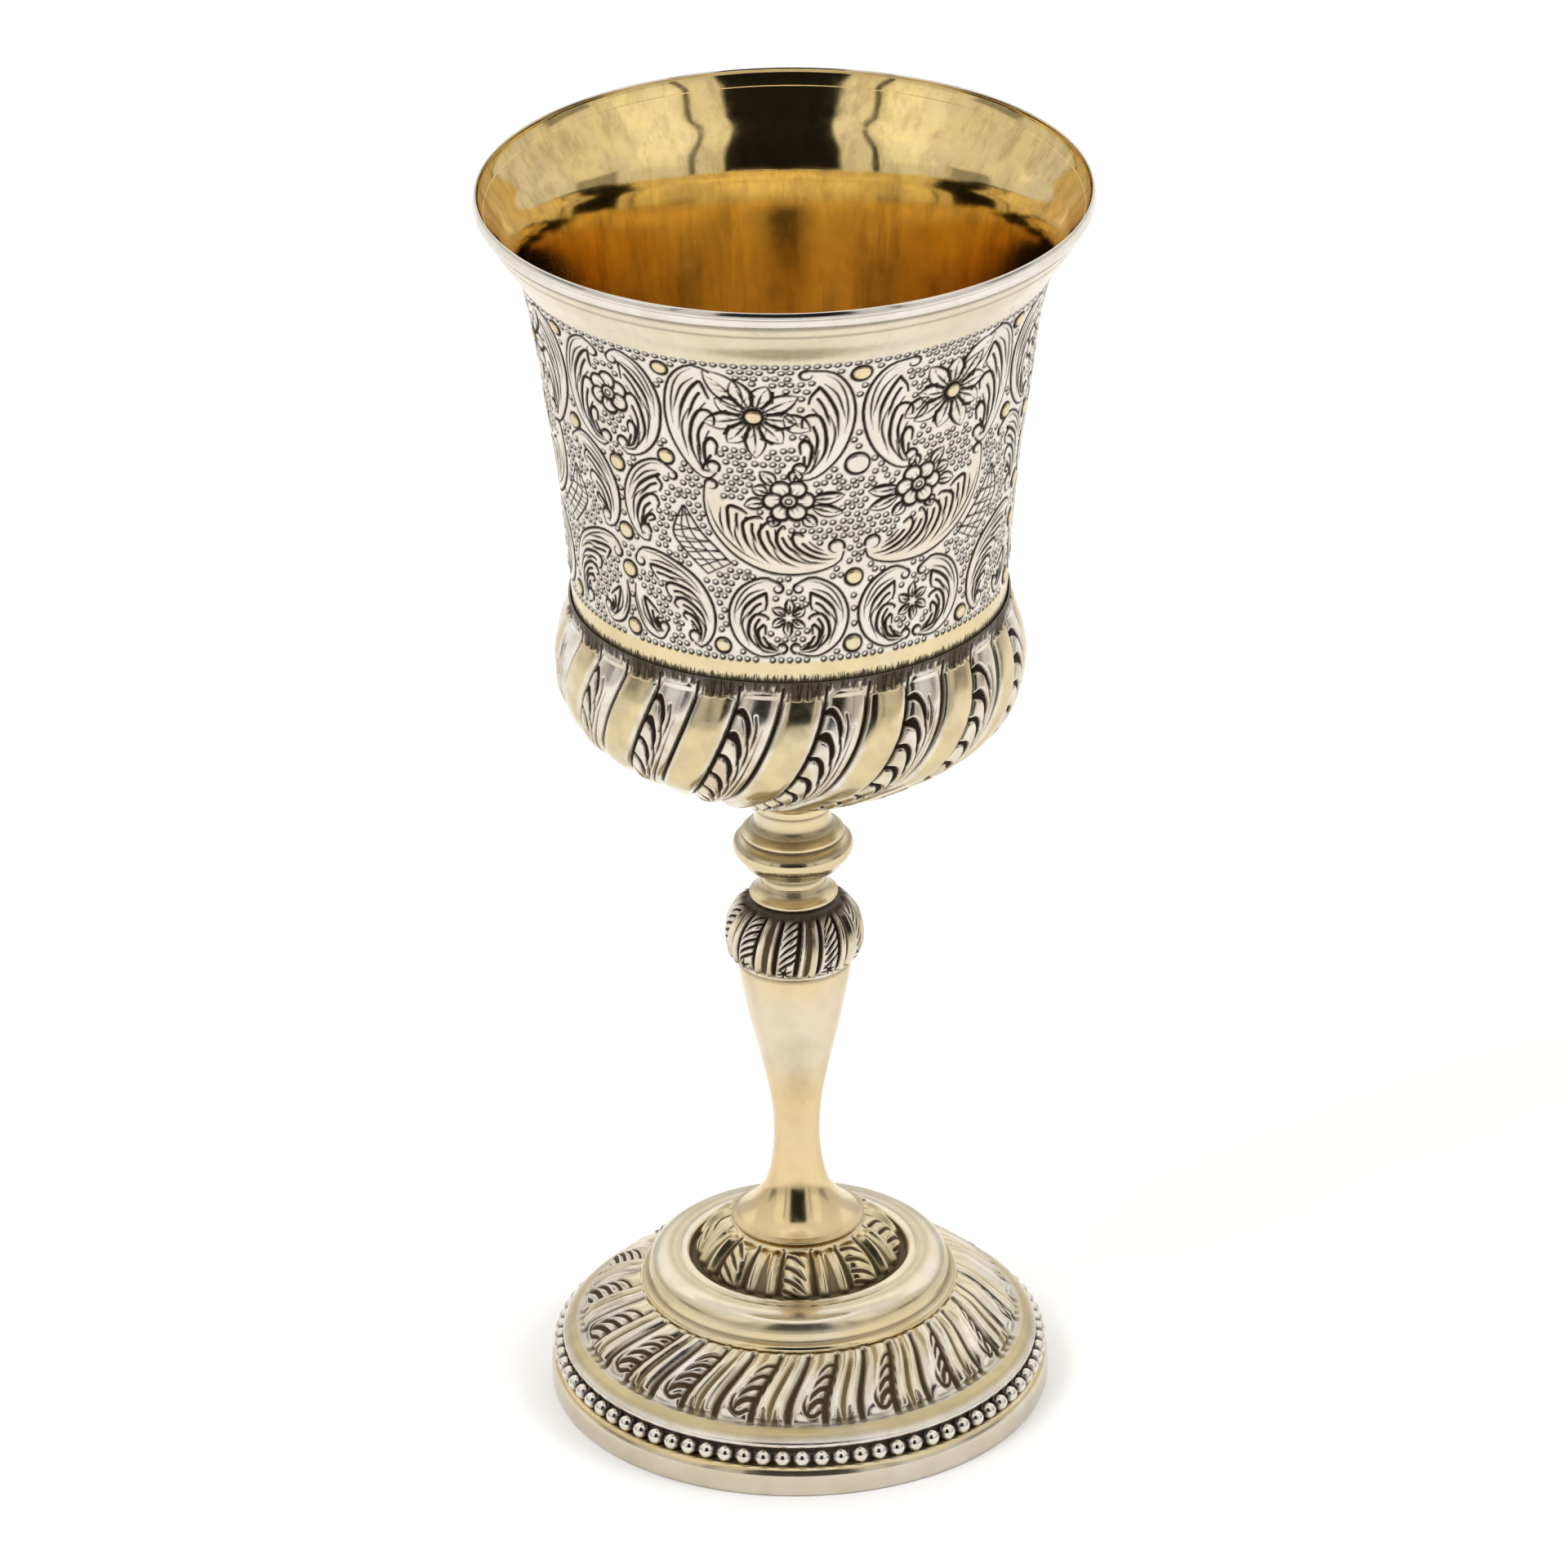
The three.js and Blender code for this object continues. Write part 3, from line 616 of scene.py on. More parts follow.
def mesh_object(node, points, faces):
    """An object from points in mm and (quads, triangles) pairs, named after the CAD node that it replaces."""
    quads, tris = (np.concatenate(kind) for kind in zip(*faces, strict=True))
    name = f"{node}_piece"
    mesh = bpy.data.meshes.new(name)
    corners = np.concatenate([quads.reshape(-1), tris.reshape(-1)]).astype(np.int32)
    sizes = np.concatenate([np.full(len(quads), 4), np.full(len(tris), 3)]).astype(np.int32)
    mesh.vertices.add(len(points))
    mesh.vertices.foreach_set("co", (points * MM).astype(np.float32).reshape(-1))
    mesh.loops.add(len(corners))
    mesh.loops.foreach_set("vertex_index", corners)
    mesh.polygons.add(len(sizes))
    mesh.polygons.foreach_set("loop_start", np.concatenate([[0], np.cumsum(sizes)[:-1]]).astype(np.int32))
    mesh.update(calc_edges=True)
    mesh.shade_smooth()
    obj = bpy.data.objects.new(name, mesh)
    bpy.context.scene.collection.objects.link(obj)
    return obj


def add_layer(obj, name, values):
    layer = obj.data.attributes.new(name, "FLOAT", "POINT")
    layer.data.foreach_set("value", np.ascontiguousarray(values, dtype=np.float32))


def revolve(node, outer, inner, columns, inner_columns=None, relief=None, inner_tone=0.0):
    """A closed mesh from two outlines, up the outside and down the inside. Both end on the axis, or neither.
    relief(azimuth, outline) gives the outside's push in mm and its colour layers."""
    inner_columns = inner_columns or columns
    on_axis = int(outer[0, 0] < 1e-9)
    azimuth = np.arange(columns) * TAU / columns
    push, layers = relief(azimuth, outer) if relief else (np.zeros((len(outer), columns)), {})
    normal = outward(outer)
    r, z = outer[:, :1] + normal[:, :1] * push, outer[:, 1:] + normal[:, 1:] * push
    outside = turned(r, z, azimuth)[on_axis:]
    inside = inner[:len(inner) - on_axis]
    inside = turned(inside[:, :1], inside[:, 1:], np.arange(inner_columns) * TAU / inner_columns)
    points = np.concatenate([outside.reshape(-1, 3), inside.reshape(-1, 3)])
    counts = [columns] * len(outside) + [inner_columns] * len(inside)
    firsts = np.cumsum([0, *counts])
    faces = [strip(firsts[i], counts[i], firsts[i + 1], counts[i + 1]) for i in range(len(counts) - 1)]
    if on_axis:
        no_quads, low_cap = fan(0, columns, len(points))
        faces += [(no_quads, low_cap[:, [1, 0, 2]]), fan(firsts[-2], counts[-1], len(points) + 1)]
        points = np.concatenate([points, [[0, 0, outer[0, 1]], [0, 0, inner[-1, 1]]]])
    else:
        faces.append(strip(firsts[-2], counts[-1], 0, columns))
    obj = mesh_object(node, points, faces)
    obj["outer_points"] = len(outside) * columns
    for name, layer in layers.items():
        values = np.full(len(points), inner_tone if name == "tone" else 0.0)
        values[:len(outside) * columns] = layer[on_axis:].reshape(-1)
        add_layer(obj, name, values)
    return obj


def hoop(node, r, z, azimuth, dark):
    """A closed ring whose section runs down the rows of r and z, silver, with the given dark layer of painted
    shade.
    """
    rows, columns = r.shape
    faces = [strip(k * columns, columns, (k + 1) % rows * columns, columns) for k in range(rows)]
    obj = mesh_object(node, turned(r, z, azimuth).reshape(-1, 3), faces)
    add_layer(obj, "dark", np.broadcast_to(dark, r.shape).reshape(-1))
    add_layer(obj, "tone", np.zeros(r.size))
    return obj


def line_inside(obj, material):
    """Gives the faces of the inner outline their own finish."""
    obj.data.materials.append(material)
    mesh = obj.data
    corners = np.empty(len(mesh.loops), np.int32)
    mesh.loops.foreach_get("vertex_index", corners)
    starts = np.empty(len(mesh.polygons), np.int32)
    mesh.polygons.foreach_get("loop_start", starts)
    inside = np.minimum.reduceat(corners, starts) >= obj["outer_points"]
    mesh.polygons.foreach_set("material_index", inside.astype(np.int32))
    mesh.update()


def hand_over(obj, body, material):
    """Rides the piece on its body in place of its CAD node, in its finish."""
    obj.data.materials.append(material)
    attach(obj, body)
    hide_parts(obj.name.removesuffix("_piece"))


# ---- materials ----
class Nodes:
    """Short names for building a node tree."""

    def __init__(self, owner):
        owner.use_nodes = True
        self.tree = owner.node_tree
        self.tree.nodes.clear()

    def add(self, kind, inputs, **settings):
        node = self.tree.nodes.new(f"ShaderNode{kind}")
        for key, value in settings.items():
            setattr(node, key, value)
        for key, value in inputs.items():
            self.feed(node.inputs[key], value)
        return node.outputs

    def feed(self, socket, value):
        if isinstance(value, bpy.types.NodeSocket):
            self.tree.links.new(value, socket)
        else:
            socket.default_value = value

    def math(self, operation, *values):
        return self.add("Math", dict(enumerate(values)), operation=operation)[0]

    def plus(self, a, b):
        return self.math("ADD", a, b)

    def minus(self, a, b):
        return self.math("SUBTRACT", a, b)

    def times(self, a, b):
        return self.math("MULTIPLY", a, b)

    def mix(self, share, a, b):
        return self.add("Mix", {0: share, 6: a, 7: b}, data_type="RGBA")[2]

    def ramp(self, value, low, high, to_low=0.0, to_high=1.0):
        inputs = {"Value": value, "From Min": low, "From Max": high, "To Min": to_low, "To Max": to_high}
        return self.add("MapRange", inputs, interpolation_type="SMOOTHSTEP")[0]

    def noise(self, vector, scale, detail, roughness=0.55):
        inputs = {"Vector": vector, "Scale": scale, "Detail": detail, "Roughness": roughness}
        return self.add("TexNoise", inputs)[0]

    def stretched(self, vector, across, up, detail, roughness):
        """Noise of one scale across and another up."""
        scaled = self.add("Mapping", {"Vector": vector, "Scale": (across, across, up)})[0]
        return self.noise(scaled, 1.0, detail, roughness)

    def bump(self, depth, height, **inputs):
        return self.add("Bump", {"Distance": depth, "Height": height, **inputs})[0]


def colour(r, g, b):
    return (r, g, b, 1.0)


SILVER = colour(0.74, 0.70, 0.64)
STAIN = colour(0.50, 0.40, 0.26)
WIPED = colour(0.34, 0.22, 0.07)
# Colour of the dark layer: tarnish in the engraving and recesses, and painted shade there.
TARNISH_AND_SHADE = colour(0.020, 0.013, 0.008)


def metal(name, gilt=colour(0.72, 0.59, 0.34), tone=0.0, roughness=0.16, wear=0.25, brushing=0.15, grime=0.25,
          streaks=0.0, stains=0.22, oxide_and_shade=TARNISH_AND_SHADE, uneven=0.03, rubbed=None):
    """Worn silver-gilt. The mesh's dark layer is tarnish left in the engraving and the recesses, with painted
    shade in the recesses too, and its tone layer is 1 where the gilding is whole. wear is how much the
    gilding thins at random, brushing the depth of the turning lines, streaks how strongly upright marks from
    wiping darken it, stains how brown its patches are and uneven the depth in mm of the sheet's slow
    unevenness. Below rubbed mm the metal has lost its polish."""
    material = bpy.data.materials.new(name)
    n = Nodes(material)
    place = n.add("TexCoord", {})["Object"]
    dark = n.add("Attribute", {}, attribute_name="dark")["Fac"]
    tone_layer = n.add("Attribute", {}, attribute_name="tone")["Fac"]
    cloud = n.noise(place, 90, 4)
    fine = n.noise(place, 900, 5, 0.65)
    gilded = n.minus(n.plus(tone_layer, tone), n.times(n.ramp(cloud, 0.45, 0.75), wear))
    base = n.mix(n.add("Clamp", {0: gilded})[0], SILVER, gilt)
    base = n.mix(n.ramp(n.noise(place, 260, 3), 0.38, 0.68, 0.0, stains), base, STAIN)
    base = n.mix(n.ramp(n.stretched(place, 420, 14, 4, 0.7), 0.42, 0.72, 0.0, streaks), base, WIPED)
    specks = n.ramp(n.noise(place, 1500, 2), 0.68, 0.78, 0.0, grime)
    # painted shade and tarnish: the dark layer and the grime specks pull the base towards the dark colour
    base = n.mix(n.math("MAXIMUM", dark, specks), base, oxide_and_shade)
    rough = n.plus(roughness, n.times(n.ramp(fine, 0.35, 0.8), 0.6 * roughness))
    rough = n.plus(rough, n.times(n.ramp(cloud, 0.3, 0.8), 0.45 * roughness))
    rough = n.plus(rough, n.times(dark, 0.35))
    if rubbed:
        z = n.add("SeparateXYZ", {0: place})[2]
        rough = n.plus(rough, n.ramp(z, (rubbed - 12) * MM, rubbed * MM, 0.06, 0.0))
    rings = n.stretched(place, 60, 6000, 3, 0.7)
    lines = n.plus(n.times(rings, brushing), n.times(fine, 0.25))
    swell = n.bump(uneven * MM, n.noise(place, 190, 1), Strength=1.0)
    shader = n.add("BsdfPrincipled", {
        "Base Color": base, "Roughness": rough,
        "Normal": n.bump(0.06 * MM, lines, Strength=0.10, Normal=swell),
        "Metallic": n.minus(1.0, n.times(dark, 0.5)), "Specular IOR Level": n.minus(0.5, n.times(dark, 0.4)),
    })
    n.add("OutputMaterial", {0: shader[0]})
    return material


silver_gilt = metal("engraved_silver_gilt", roughness=0.17, wear=0.2, brushing=0.1)
chased = metal("chased_gilt", colour(0.66, 0.54, 0.30), roughness=0.15, wear=0.35, brushing=0.05, stains=0.6,
               uneven=0.25)
# a browner dark colour, for the foot's tarnish and its painted shade
chased_foot = metal("chased_foot_gilt", tone=0.1, roughness=0.17, wear=0.3, brushing=0.05, stains=0.35,
                    oxide_and_shade=colour(0.075, 0.050, 0.024))
polished = metal("polished_gilt", colour(0.70, 0.56, 0.31), tone=0.85, roughness=0.10, wear=0.35,
                 brushing=0.25)
pale = metal("pale_gilt", colour(0.72, 0.55, 0.28), tone=0.55, roughness=0.13, wear=0.2, brushing=0.2)
bright = metal("bright_silver", colour(0.80, 0.62, 0.28), tone=0.04, roughness=0.09, wear=0.1, brushing=0.2)
lining_gilt = metal("lining_gilt", colour(0.84, 0.635, 0.27), roughness=0.06, wear=0.15, brushing=0.3,
                    grime=0.08, stains=0.3, streaks=0.45, uneven=0.04, rubbed=168)
brass = metal("turned_brass", colour(0.74, 0.56, 0.28), tone=1.0, roughness=0.28, wear=0.1, brushing=0.8,
              grime=0.5)


# ---- relief ----
def wrapped(canvas, repeats, first, along, depth, sink, fade, finish, lean=None, stain_and_shade=None, least=None):
    """relief() for revolve: the canvas repeated round the piece. first is the azimuth of its middle in
    degrees, along(outline) its y at each row, lean(y) its twist in degrees, depth that of a full cut, sink
    how far the whole is pushed in, and fade(outline) and stain_and_shade(outline) the shares of relief and
    of tarnish and painted shade that each row keeps. The dark layer is the engraving's tarnish, with painted
    shade where the relief sinks below its surroundings. least(outline) is the deepest push of each row.
    finish(outline, layers) may change the colour layers."""
    drawn = canvas.folded()
    pressed = drawn["height"] - depth * blurred(drawn["cut"], 1) - sink
    span = 360 / repeats

    def relief(azimuth, outline):
        y = along(outline)
        twist = lean(y) if lean else np.zeros(len(y))
        turn = (np.degrees(azimuth)[None, :] - first - twist[:, None] + span / 2) % span - span / 2
        x, y = turn / span * canvas.width, np.broadcast_to(y[:, None], turn.shape)
        kept = fade(outline)[:, None]
        push = canvas.sample(pressed, x, y) * kept
        if least:
            push = np.maximum(push, least(outline)[:, None])
        # painted shade: relief sunk below its blurred surroundings is darkened as if shadowed
        hollow_shade = smoothstep(blurred(push, 5) - push, 0.04, 0.26)
        stain_and_shade_kept = stain_and_shade(outline)[:, None] if stain_and_shade else kept
        layers = {
            "dark": np.maximum(canvas.sample(drawn["cut"], x, y), 0.75 * hollow_shade) * stain_and_shade_kept,
            "tone": canvas.sample(drawn["tone"], x, y),
        }
        finish(outline, layers)
        return push, layers

    return relief


def darken(layers, oxide_and_shade):
    """Adds tarnish and painted shade to the dark layer, given for each row or for each point."""
    layers["dark"] = np.maximum(layers["dark"], oxide_and_shade if oxide_and_shade.ndim == 2 else oxide_and_shade[:, None])


def shaded(*marks, tone=((0, 0),)):
    """relief() with no push. Each mark is a height, a half width and a strength of painted shade, darkening a
    groove, joint or underside of the turned piece, and each entry of tone is a height and the tone added
    there."""
    def relief(azimuth, outline):
        z = outline[:, 1]
        # painted shade: dark bands round the piece at the given heights
        dark = np.max([0 * z, *(strength * hump(z, height, half) for height, half, strength in marks)], 0)
        added = np.interp(z, *np.transpose(tone))
        every = np.ones((1, len(azimuth)))
        return 0 * z[:, None] * every, {"dark": dark[:, None] * every, "tone": added[:, None] * every}

    return relief


# ---- dimensions shared with the CAD ----
BORE = 1.85                          # radius of the hole for the tie rod
SHEET = 0.8                          # thickness of the cup's wall
BEADS = 78
GADROON_HEAD = 22.2                  # radius of the inner end of the outer dome's lobes
CALYX_TOP = 122.0                    # height where the engraving's panel starts
STEP = 0.15        # spacing of grid rows on chased and engraved work
WIDE = 1440        # grid columns on the widest chased pieces
PLAIN = 360        # grid columns on plain turned pieces


# ---- foot ----
def foot_rim():
    return revolve(
        "foot_rim",
        profile((33.0, 0), (34.4, 0), (34.6, 0.4), (34.6, 3.1), (34.3, 3.8), (33.8, 4.2), (31.8, 4.2),
                ease=0.25, step=0.3),
        profile((31.8, 3.4), (33.0, 3.4), (33.0, 0.2), step=0.6), 2 * PLAIN,
        relief=shaded((4.4, 0.25, 0.5), (1.8, 3.0, 0.13), tone=[(0, -0.5), (3.4, -0.4), (3.7, 0.15)]))


def bead_wire():
    """Beads cut on a wire, joined by thin necks."""
    circle, middle, bead, neck = 33.25, 5.35, 1.14, 0.45
    per_bead, sides = 14, 16
    j = np.arange(BEADS * per_bead)
    gap = ((j + per_bead / 2) % per_bead - per_bead / 2) / per_bead * TAU * circle / BEADS
    size = np.maximum(np.sqrt(np.maximum(bead**2 - gap**2, 0)), neck)
    turn = np.arange(sides)[:, None] * TAU / sides
    r, z = circle + size * np.cos(turn), middle + size * np.sin(turn)
    # the necks between beads are darkened: painted shade in the crevices
    return hoop("bead_wire", r, z, j * TAU / len(j), 1 - smoothstep(size, neck, 0.85))


def outer_dome():
    def along(outline):
        s = arc_length(outline)
        top = outline[:, 1] > 9
        return np.interp(-GADROON_HEAD, -outline[top, 0], s[top]) - s

    def fade(outline):
        r, z = outline.T
        return smoothstep(z, 8.7, 9.3) * smoothstep(r, 21.6, 22.4)

    def finish(outline, layers):
        r, z = outline.T
        # painted shade over tarnish in the trough behind the beads, and painted shade where the lobes rise
        # from the fillet
        trough = np.where((z < 6.65) & (r < 32.9), 0.6, 0)
        foot = 0.28 * smoothstep(z, 7.4, 8.0) * (1 - smoothstep(z, 8.95, 9.6))
        darken(layers, np.maximum(trough, foot))
        layers["tone"] = np.where(z[:, None] < 8.8, smoothstep(z, 7.4, 8.2)[:, None], layers["tone"])

    def lean(y):
        return 7.4 * (1 - smoothstep(y, -2, 9))

    return revolve(
        "foot_outer_dome",
        profile((32.1, 4.2), (32.1, 6.6), (33.0, 6.7), (33.0, 7.3), (31.9, 8.3),
                spline([(30.5, 9.1), (29.3, 10.3), (27.1, 12.0), (24.5, 13.8), (22.2, 15.2)]), (20.2, 15.3),
                ease=0.2, step=STEP),
        profile((20.2, 14.5), (21.6, 14.0), (26.3, 11.0), (29.6, 8.4), (31.2, 6.6), (31.2, 4.2), step=1.0),
        WIDE, WIDE // 4, wrapped(outer_dome_tile(0.1), 18, 1.4, along, 0.30, 0.45, fade, finish, lean))


def step_ring():
    return revolve(
        "foot_step_ring",
        profile((20.3, 15.3), (21.9, 15.3), (22.0, 15.8), (21.7, 16.2), (20.95, 16.45),
                spline([(20.85, 17.6), (20.5, 18.6), (19.8, 19.3), (18.8, 19.7), (17.2, 19.9)]),
                (16.5, 19.85), (16.1, 20.1), (15.5, 20.1), (15.0, 19.7), (15.0, 18.8), ease=0.2, step=0.2),
        profile((15.8, 18.8), (16.6, 19.2), (18.7, 18.95), (19.75, 18.2), (20.1, 17.0), step=0.8), PLAIN,
        relief=shaded((16.5, 0.25, 0.55), (18.2, 0.8, 0.2), (19.85, 0.06, 0.25),
                      tone=[(16, 0.1), (18.6, 0.0), (19.5, -0.55), (19.9, -0.2), (20.1, -0.5)]))


def inner_dome():
    def along(outline):
        s = arc_length(outline)
        return np.interp(24.5, outline[:, 1], s) - s

    def fade(outline):
        r, z = outline.T
        return smoothstep(z, 18.9, 19.5) * smoothstep(r, 8.6, 9.6)

    def finish(outline, layers):
        # painted shade in the valley at the foot of the inner dome, against the step ring
        darken(layers, 0.9 * (1 - smoothstep(outline[:, 1], 19.2, 20.6)))

    return revolve(
        "foot_inner_dome",
        profile((16, 18), (16, 18.8),
                spline([(14.1, 18.8), (13.6, 20.3), (12.3, 22.2), (10.6, 23.6), (9.0, 24.5)]),
                (7.6, 24.9), (BORE, 24.9), ease=0.12, step=STEP),
        profile((BORE, 24.1), (7.6, 23.6), (10.2, 22.4), (12.2, 20.3), (13.0, 18.0), step=0.8),
        2 * PLAIN, PLAIN, wrapped(inner_dome_tile(0.08), 8, -1.3, along, 0.22, 0.3, fade, finish))


def flat_ring(node, radius, bore, low, high, columns):
    outline = profile((bore, low), (radius, low), (radius, high), (bore, high), ease=0.1, step=0.5)
    return revolve(node, outline, np.zeros((0, 2)), columns)


hand_over(foot_rim(), "stand", polished)
hand_over(bead_wire(), "stand", bright)
hand_over(outer_dome(), "stand", chased_foot)
hand_over(step_ring(), "stand", polished)
hand_over(inner_dome(), "stand", chased_foot)
hand_over(flat_ring("foot_plate", 15.6, BORE, 17.0, 18.0, PLAIN), "stand", brass)
hand_over(flat_ring("nut_washer", 3.8, 1.7, 16.2, 17.0, PLAIN // 2), "washer", brass)


# ---- stem ----
def stem_piece(node, material, outline, relief, columns=PLAIN):
    """A turned piece of the stem, bored for the tie rod."""
    bore = profile((BORE, outline[-1][1]), (BORE, outline[0][1]), step=4.0)
    hand_over(revolve(node, outline, bore, columns, relief=relief), "stand", material)


stem_piece("baluster", pale, profile(
    (8.7, 24.9), (9.2, 25.15), (9.2, 25.45),
    spline([(8.5, 25.7), (6.6, 27.3), (5.0, 29.4), (4.1, 31.4), (3.4, 35), (3.2, 39), (3.6, 44), (4.8, 50),
            (6.2, 56), (7.4, 62), (7.9, 65.6)], 120), step=0.25),
    shaded((25.4, 0.5, 0.25), (65.4, 0.3, 0.4),
           tone=[(25, 0.35), (31, 0.4), (45, 0.4), (52, 0.0), (60, 0.0), (65, 0.3)]))


def gadroon_knop():
    def fade(outline):
        z = outline[:, 1]
        return smoothstep(z, 65.7, 66.4) * smoothstep(-z, -74.8, -74.2)

    def finish(outline, layers):
        # painted shade on the top of the knop, under the neck spool
        darken(layers, 0.9 * smoothstep(outline[:, 1], 73.3, 74.4))

    def lean(y):
        return 10 * (y / 11.5 - 0.5)

    crown = [(8.1, 66), (8.9, 67), (9.25, 68.4), (9.25, 70), (8.8, 71.8), (7.7, 73.5), (5.9, 74.9)]
    relief = wrapped(knop_tile(0.06), 9, 13.7, arc_length, 0.22, 0.25, fade, finish, lean)
    outline = profile((7.9, 65.6), spline(crown, 60), step=0.12)
    stem_piece("gadroon_knop", chased, outline, relief, 2 * PLAIN)


gadroon_knop()

stem_piece("neck_spool", polished, profile(
    (5.3, 74.9), (5.3, 75.2), (6.05, 75.35), (6.05, 75.8), spline([(5.5, 76.1), (4.8, 76.7), (4.5, 77.4)]),
    (4.3, 77.6), (4.3, 78.6), ease=0.12, step=0.1),
    shaded((75.0, 0.35, 0.95), (76.9, 0.8, 0.35), (78.5, 0.3, 0.6)))

stem_piece("ring_knop", polished, profile(
    (4.3, 78.6), (4.75, 78.8), (4.75, 79.3),
    spline([(5.1, 79.5), (6.35, 80), (7.25, 81), (8.0, 82), (8.27, 82.9), (8.0, 83.7), (7.4, 84.2)], 40),
    (6.75, 84.5), (7.0, 84.75), (7.0, 85.2), (6.4, 85.6), (5.9, 85.9), ease=0.12, step=0.1),
    shaded((79.2, 0.4, 0.5), (80.6, 0.9, 0.25), (83.9, 0.35, 0.45), (84.55, 0.2, 0.7), (85.8, 0.4, 0.45)))

stem_piece("stem_collar", polished, profile(
    spline([(5.9, 85.9), (5.35, 86.7), (5.2, 87.8), (5.2, 88.8)]), (5.55, 89.0), (5.6, 90.0), (5.3, 90.4),
    spline([(5.4, 91.4), (6.0, 92.8), (7.6, 94.4)]), ease=0.12, step=0.15),
    shaded((86.4, 0.7, 0.5), (88.8, 0.3, 0.5), (90.6, 0.35, 0.6), (93.0, 1.6, 0.25)))


# ---- calyx ----
def calyx():
    def along(outline):
        s = arc_length(outline)
        return s - s[-1] - 1.4

    def fade(outline):
        r, z = outline.T
        return np.where(z < 110, smoothstep(r, 8.6, 15), smoothstep(-z, -121.5, -119.8))

    def stain_and_shade(outline):
        """The matting keeps its tarnish, and the painted shade of its sunken relief, right up to the edge."""
        r, z = outline.T
        return np.where(z < 110, smoothstep(r, 8.6, 15), 1.0)

    def least(outline):
        """Keeps the sheet at the calyx's mouth clear of the cup wall inside it."""
        r, z = outline.T
        return np.where(z > 113, np.interp(z, [113, 118.4], [30.2, 29.45]) + 0.12 - r, -9.0)

    def finish(outline, layers):
        layers["tone"] = np.where(outline[:, 1:] < 96.5, 0.8, layers["tone"])

    def lean(y):
        return -28 * (np.maximum(-y, 0) / 31) ** 1.7

    relief = wrapped(calyx_tile(0.08), 16, 3.9, along, 0.42, 0.5, fade, finish, lean, stain_and_shade, least)
    return revolve(
        "calyx",
        profile((3.05, 94.4),
                spline([(8.4, 94.4), (14, 95.7), (20, 97.9), (25, 101.1), (28.7, 104), (30.9, 107.6),
                        (31.7, 112), (31.2, 115.8), (29.9, 119.3)], 90), (29.75, 121.6), step=STEP),
        profile((29.45, 121.6), (29.45, 118.4), (30.2, 113), (29.3, 107.6), (25.6, 103.1), (18.6, 98.6),
                (8.4, 95.2), (3.05, 95.2), step=1.5),
        WIDE, WIDE // 4, relief)


hand_over(calyx(), "cup", chased)


# ---- cup ----
def wall_height(outline):
    """Distance up the wall from the top of the calyx."""
    s = arc_length(outline)
    return s - np.interp(CALYX_TOP, outline[:, 1], s)


def wall_fade(outline):
    v = wall_height(outline)
    return smoothstep(v, 2.0, 2.6) * smoothstep(-v, -49.6, -49.0)


def wall_finish(outline, layers):
    """Gilds the plain bands, darkens the matting's hairs at the calyx, paints shade on the wall just under
    the lip wire and darkens a thin line below it.
    """
    v = wall_height(outline)[:, None]
    plain = (v < 2.7) | (v > 49.0)
    layers["tone"] = np.where(plain, np.where(v < 10, 0.95, 0.5), layers["tone"])
    hairs = np.random.default_rng(5).uniform(0.0, 0.9, layers["dark"].shape[1])
    darken(layers, 0.9 * (1 - smoothstep(v, hairs - 0.3, hairs + 0.05)))
    # painted shade on the wall just under the lip wire, and a thin dark line a little below it
    darken(layers, smoothstep(v, 56.7, 57.6) * 0.6 + 0.45 * hump(v, 55.6, 0.25))


def cup():
    """The bowl, finely divided only where it is engraved. Its edge is hidden inside the lip wire."""
    wall = spline([(9, 101), (19, 101.9), (25.2, 104.6), (28.2, 109.3), (29.1, 115), (29.3, 122), (29.9, 130),
                   (30.9, 141), (32.4, 152), (34.0, 163.5), (35.8, 170), (38.4, 174), (40.5, 177.5)], 240)
    lining = (wall - outward(wall) * SHEET)[::-1]
    z = wall[:, 1]
    outer = path((0, 101), profile((1.0, 101), wall[0], step=2.0), resampled(wall[z < 122.2], 0.8),
                 resampled(wall[(z > 122) & (z < 171.5)], STEP), resampled(wall[z > 171.3], 0.4),
                 (40.55, 178.0))
    inner = profile((40.3, 178.2), (39.6, 177.5), lining[1:], (1.0, 101.8), (0, 101.8), step=0.8)
    relief = wrapped(engraved_panel(0.1), 3, 16.0, wall_height, 0.14, 0.0, wall_fade, wall_finish)
    return revolve("cup", outer, inner, WIDE, WIDE // 4, relief, inner_tone=1.0)


def lip_wire():
    """A half-round wire, its inner face running on from the lining."""
    outer = profile(
        (39.62, 177.5), (40.4, 177.5), arc(39.95, 178.75, 1.25, -69, 20, 16),
        spline([(41.13, 179.2), (41.04, 179.6), (40.9, 179.92), (40.76, 180.0), (40.65, 179.85),
                (40.6, 179.5)], 20), step=0.15)
    inner = profile(spline([(40.57, 179.36), (40.45, 179.0), (40.15, 178.4), (39.62, 177.52)], 16), step=0.15)
    return revolve("lip_wire", outer, inner, 2 * PLAIN, relief=shaded(), inner_tone=1.0)


for piece, slot, finish in ((cup(), "engraved_silver_gilt", silver_gilt),
                            (lip_wire(), "bright_silver", bright)):
    hand_over(piece, "cup", finish)
    line_inside(piece, lining_gilt)


# ---- tie rod, boss and nut ----
def threaded(azimuth, outline):
    """A right-hand thread cut into the rod's lower end, darkened in its grooves in proportion to their depth.
    """
    pitch = 0.6
    z = outline[:, 1:]
    depth = 0.26 * smoothstep(z, 12.8, 13.0) * (1 - smoothstep(z, 21, 22))
    groove = np.abs(2 * ((z / pitch - azimuth / TAU) % 1.0) - 1)
    return -depth * groove, {"dark": 3 * depth * groove, "tone": np.zeros(groove.shape)}


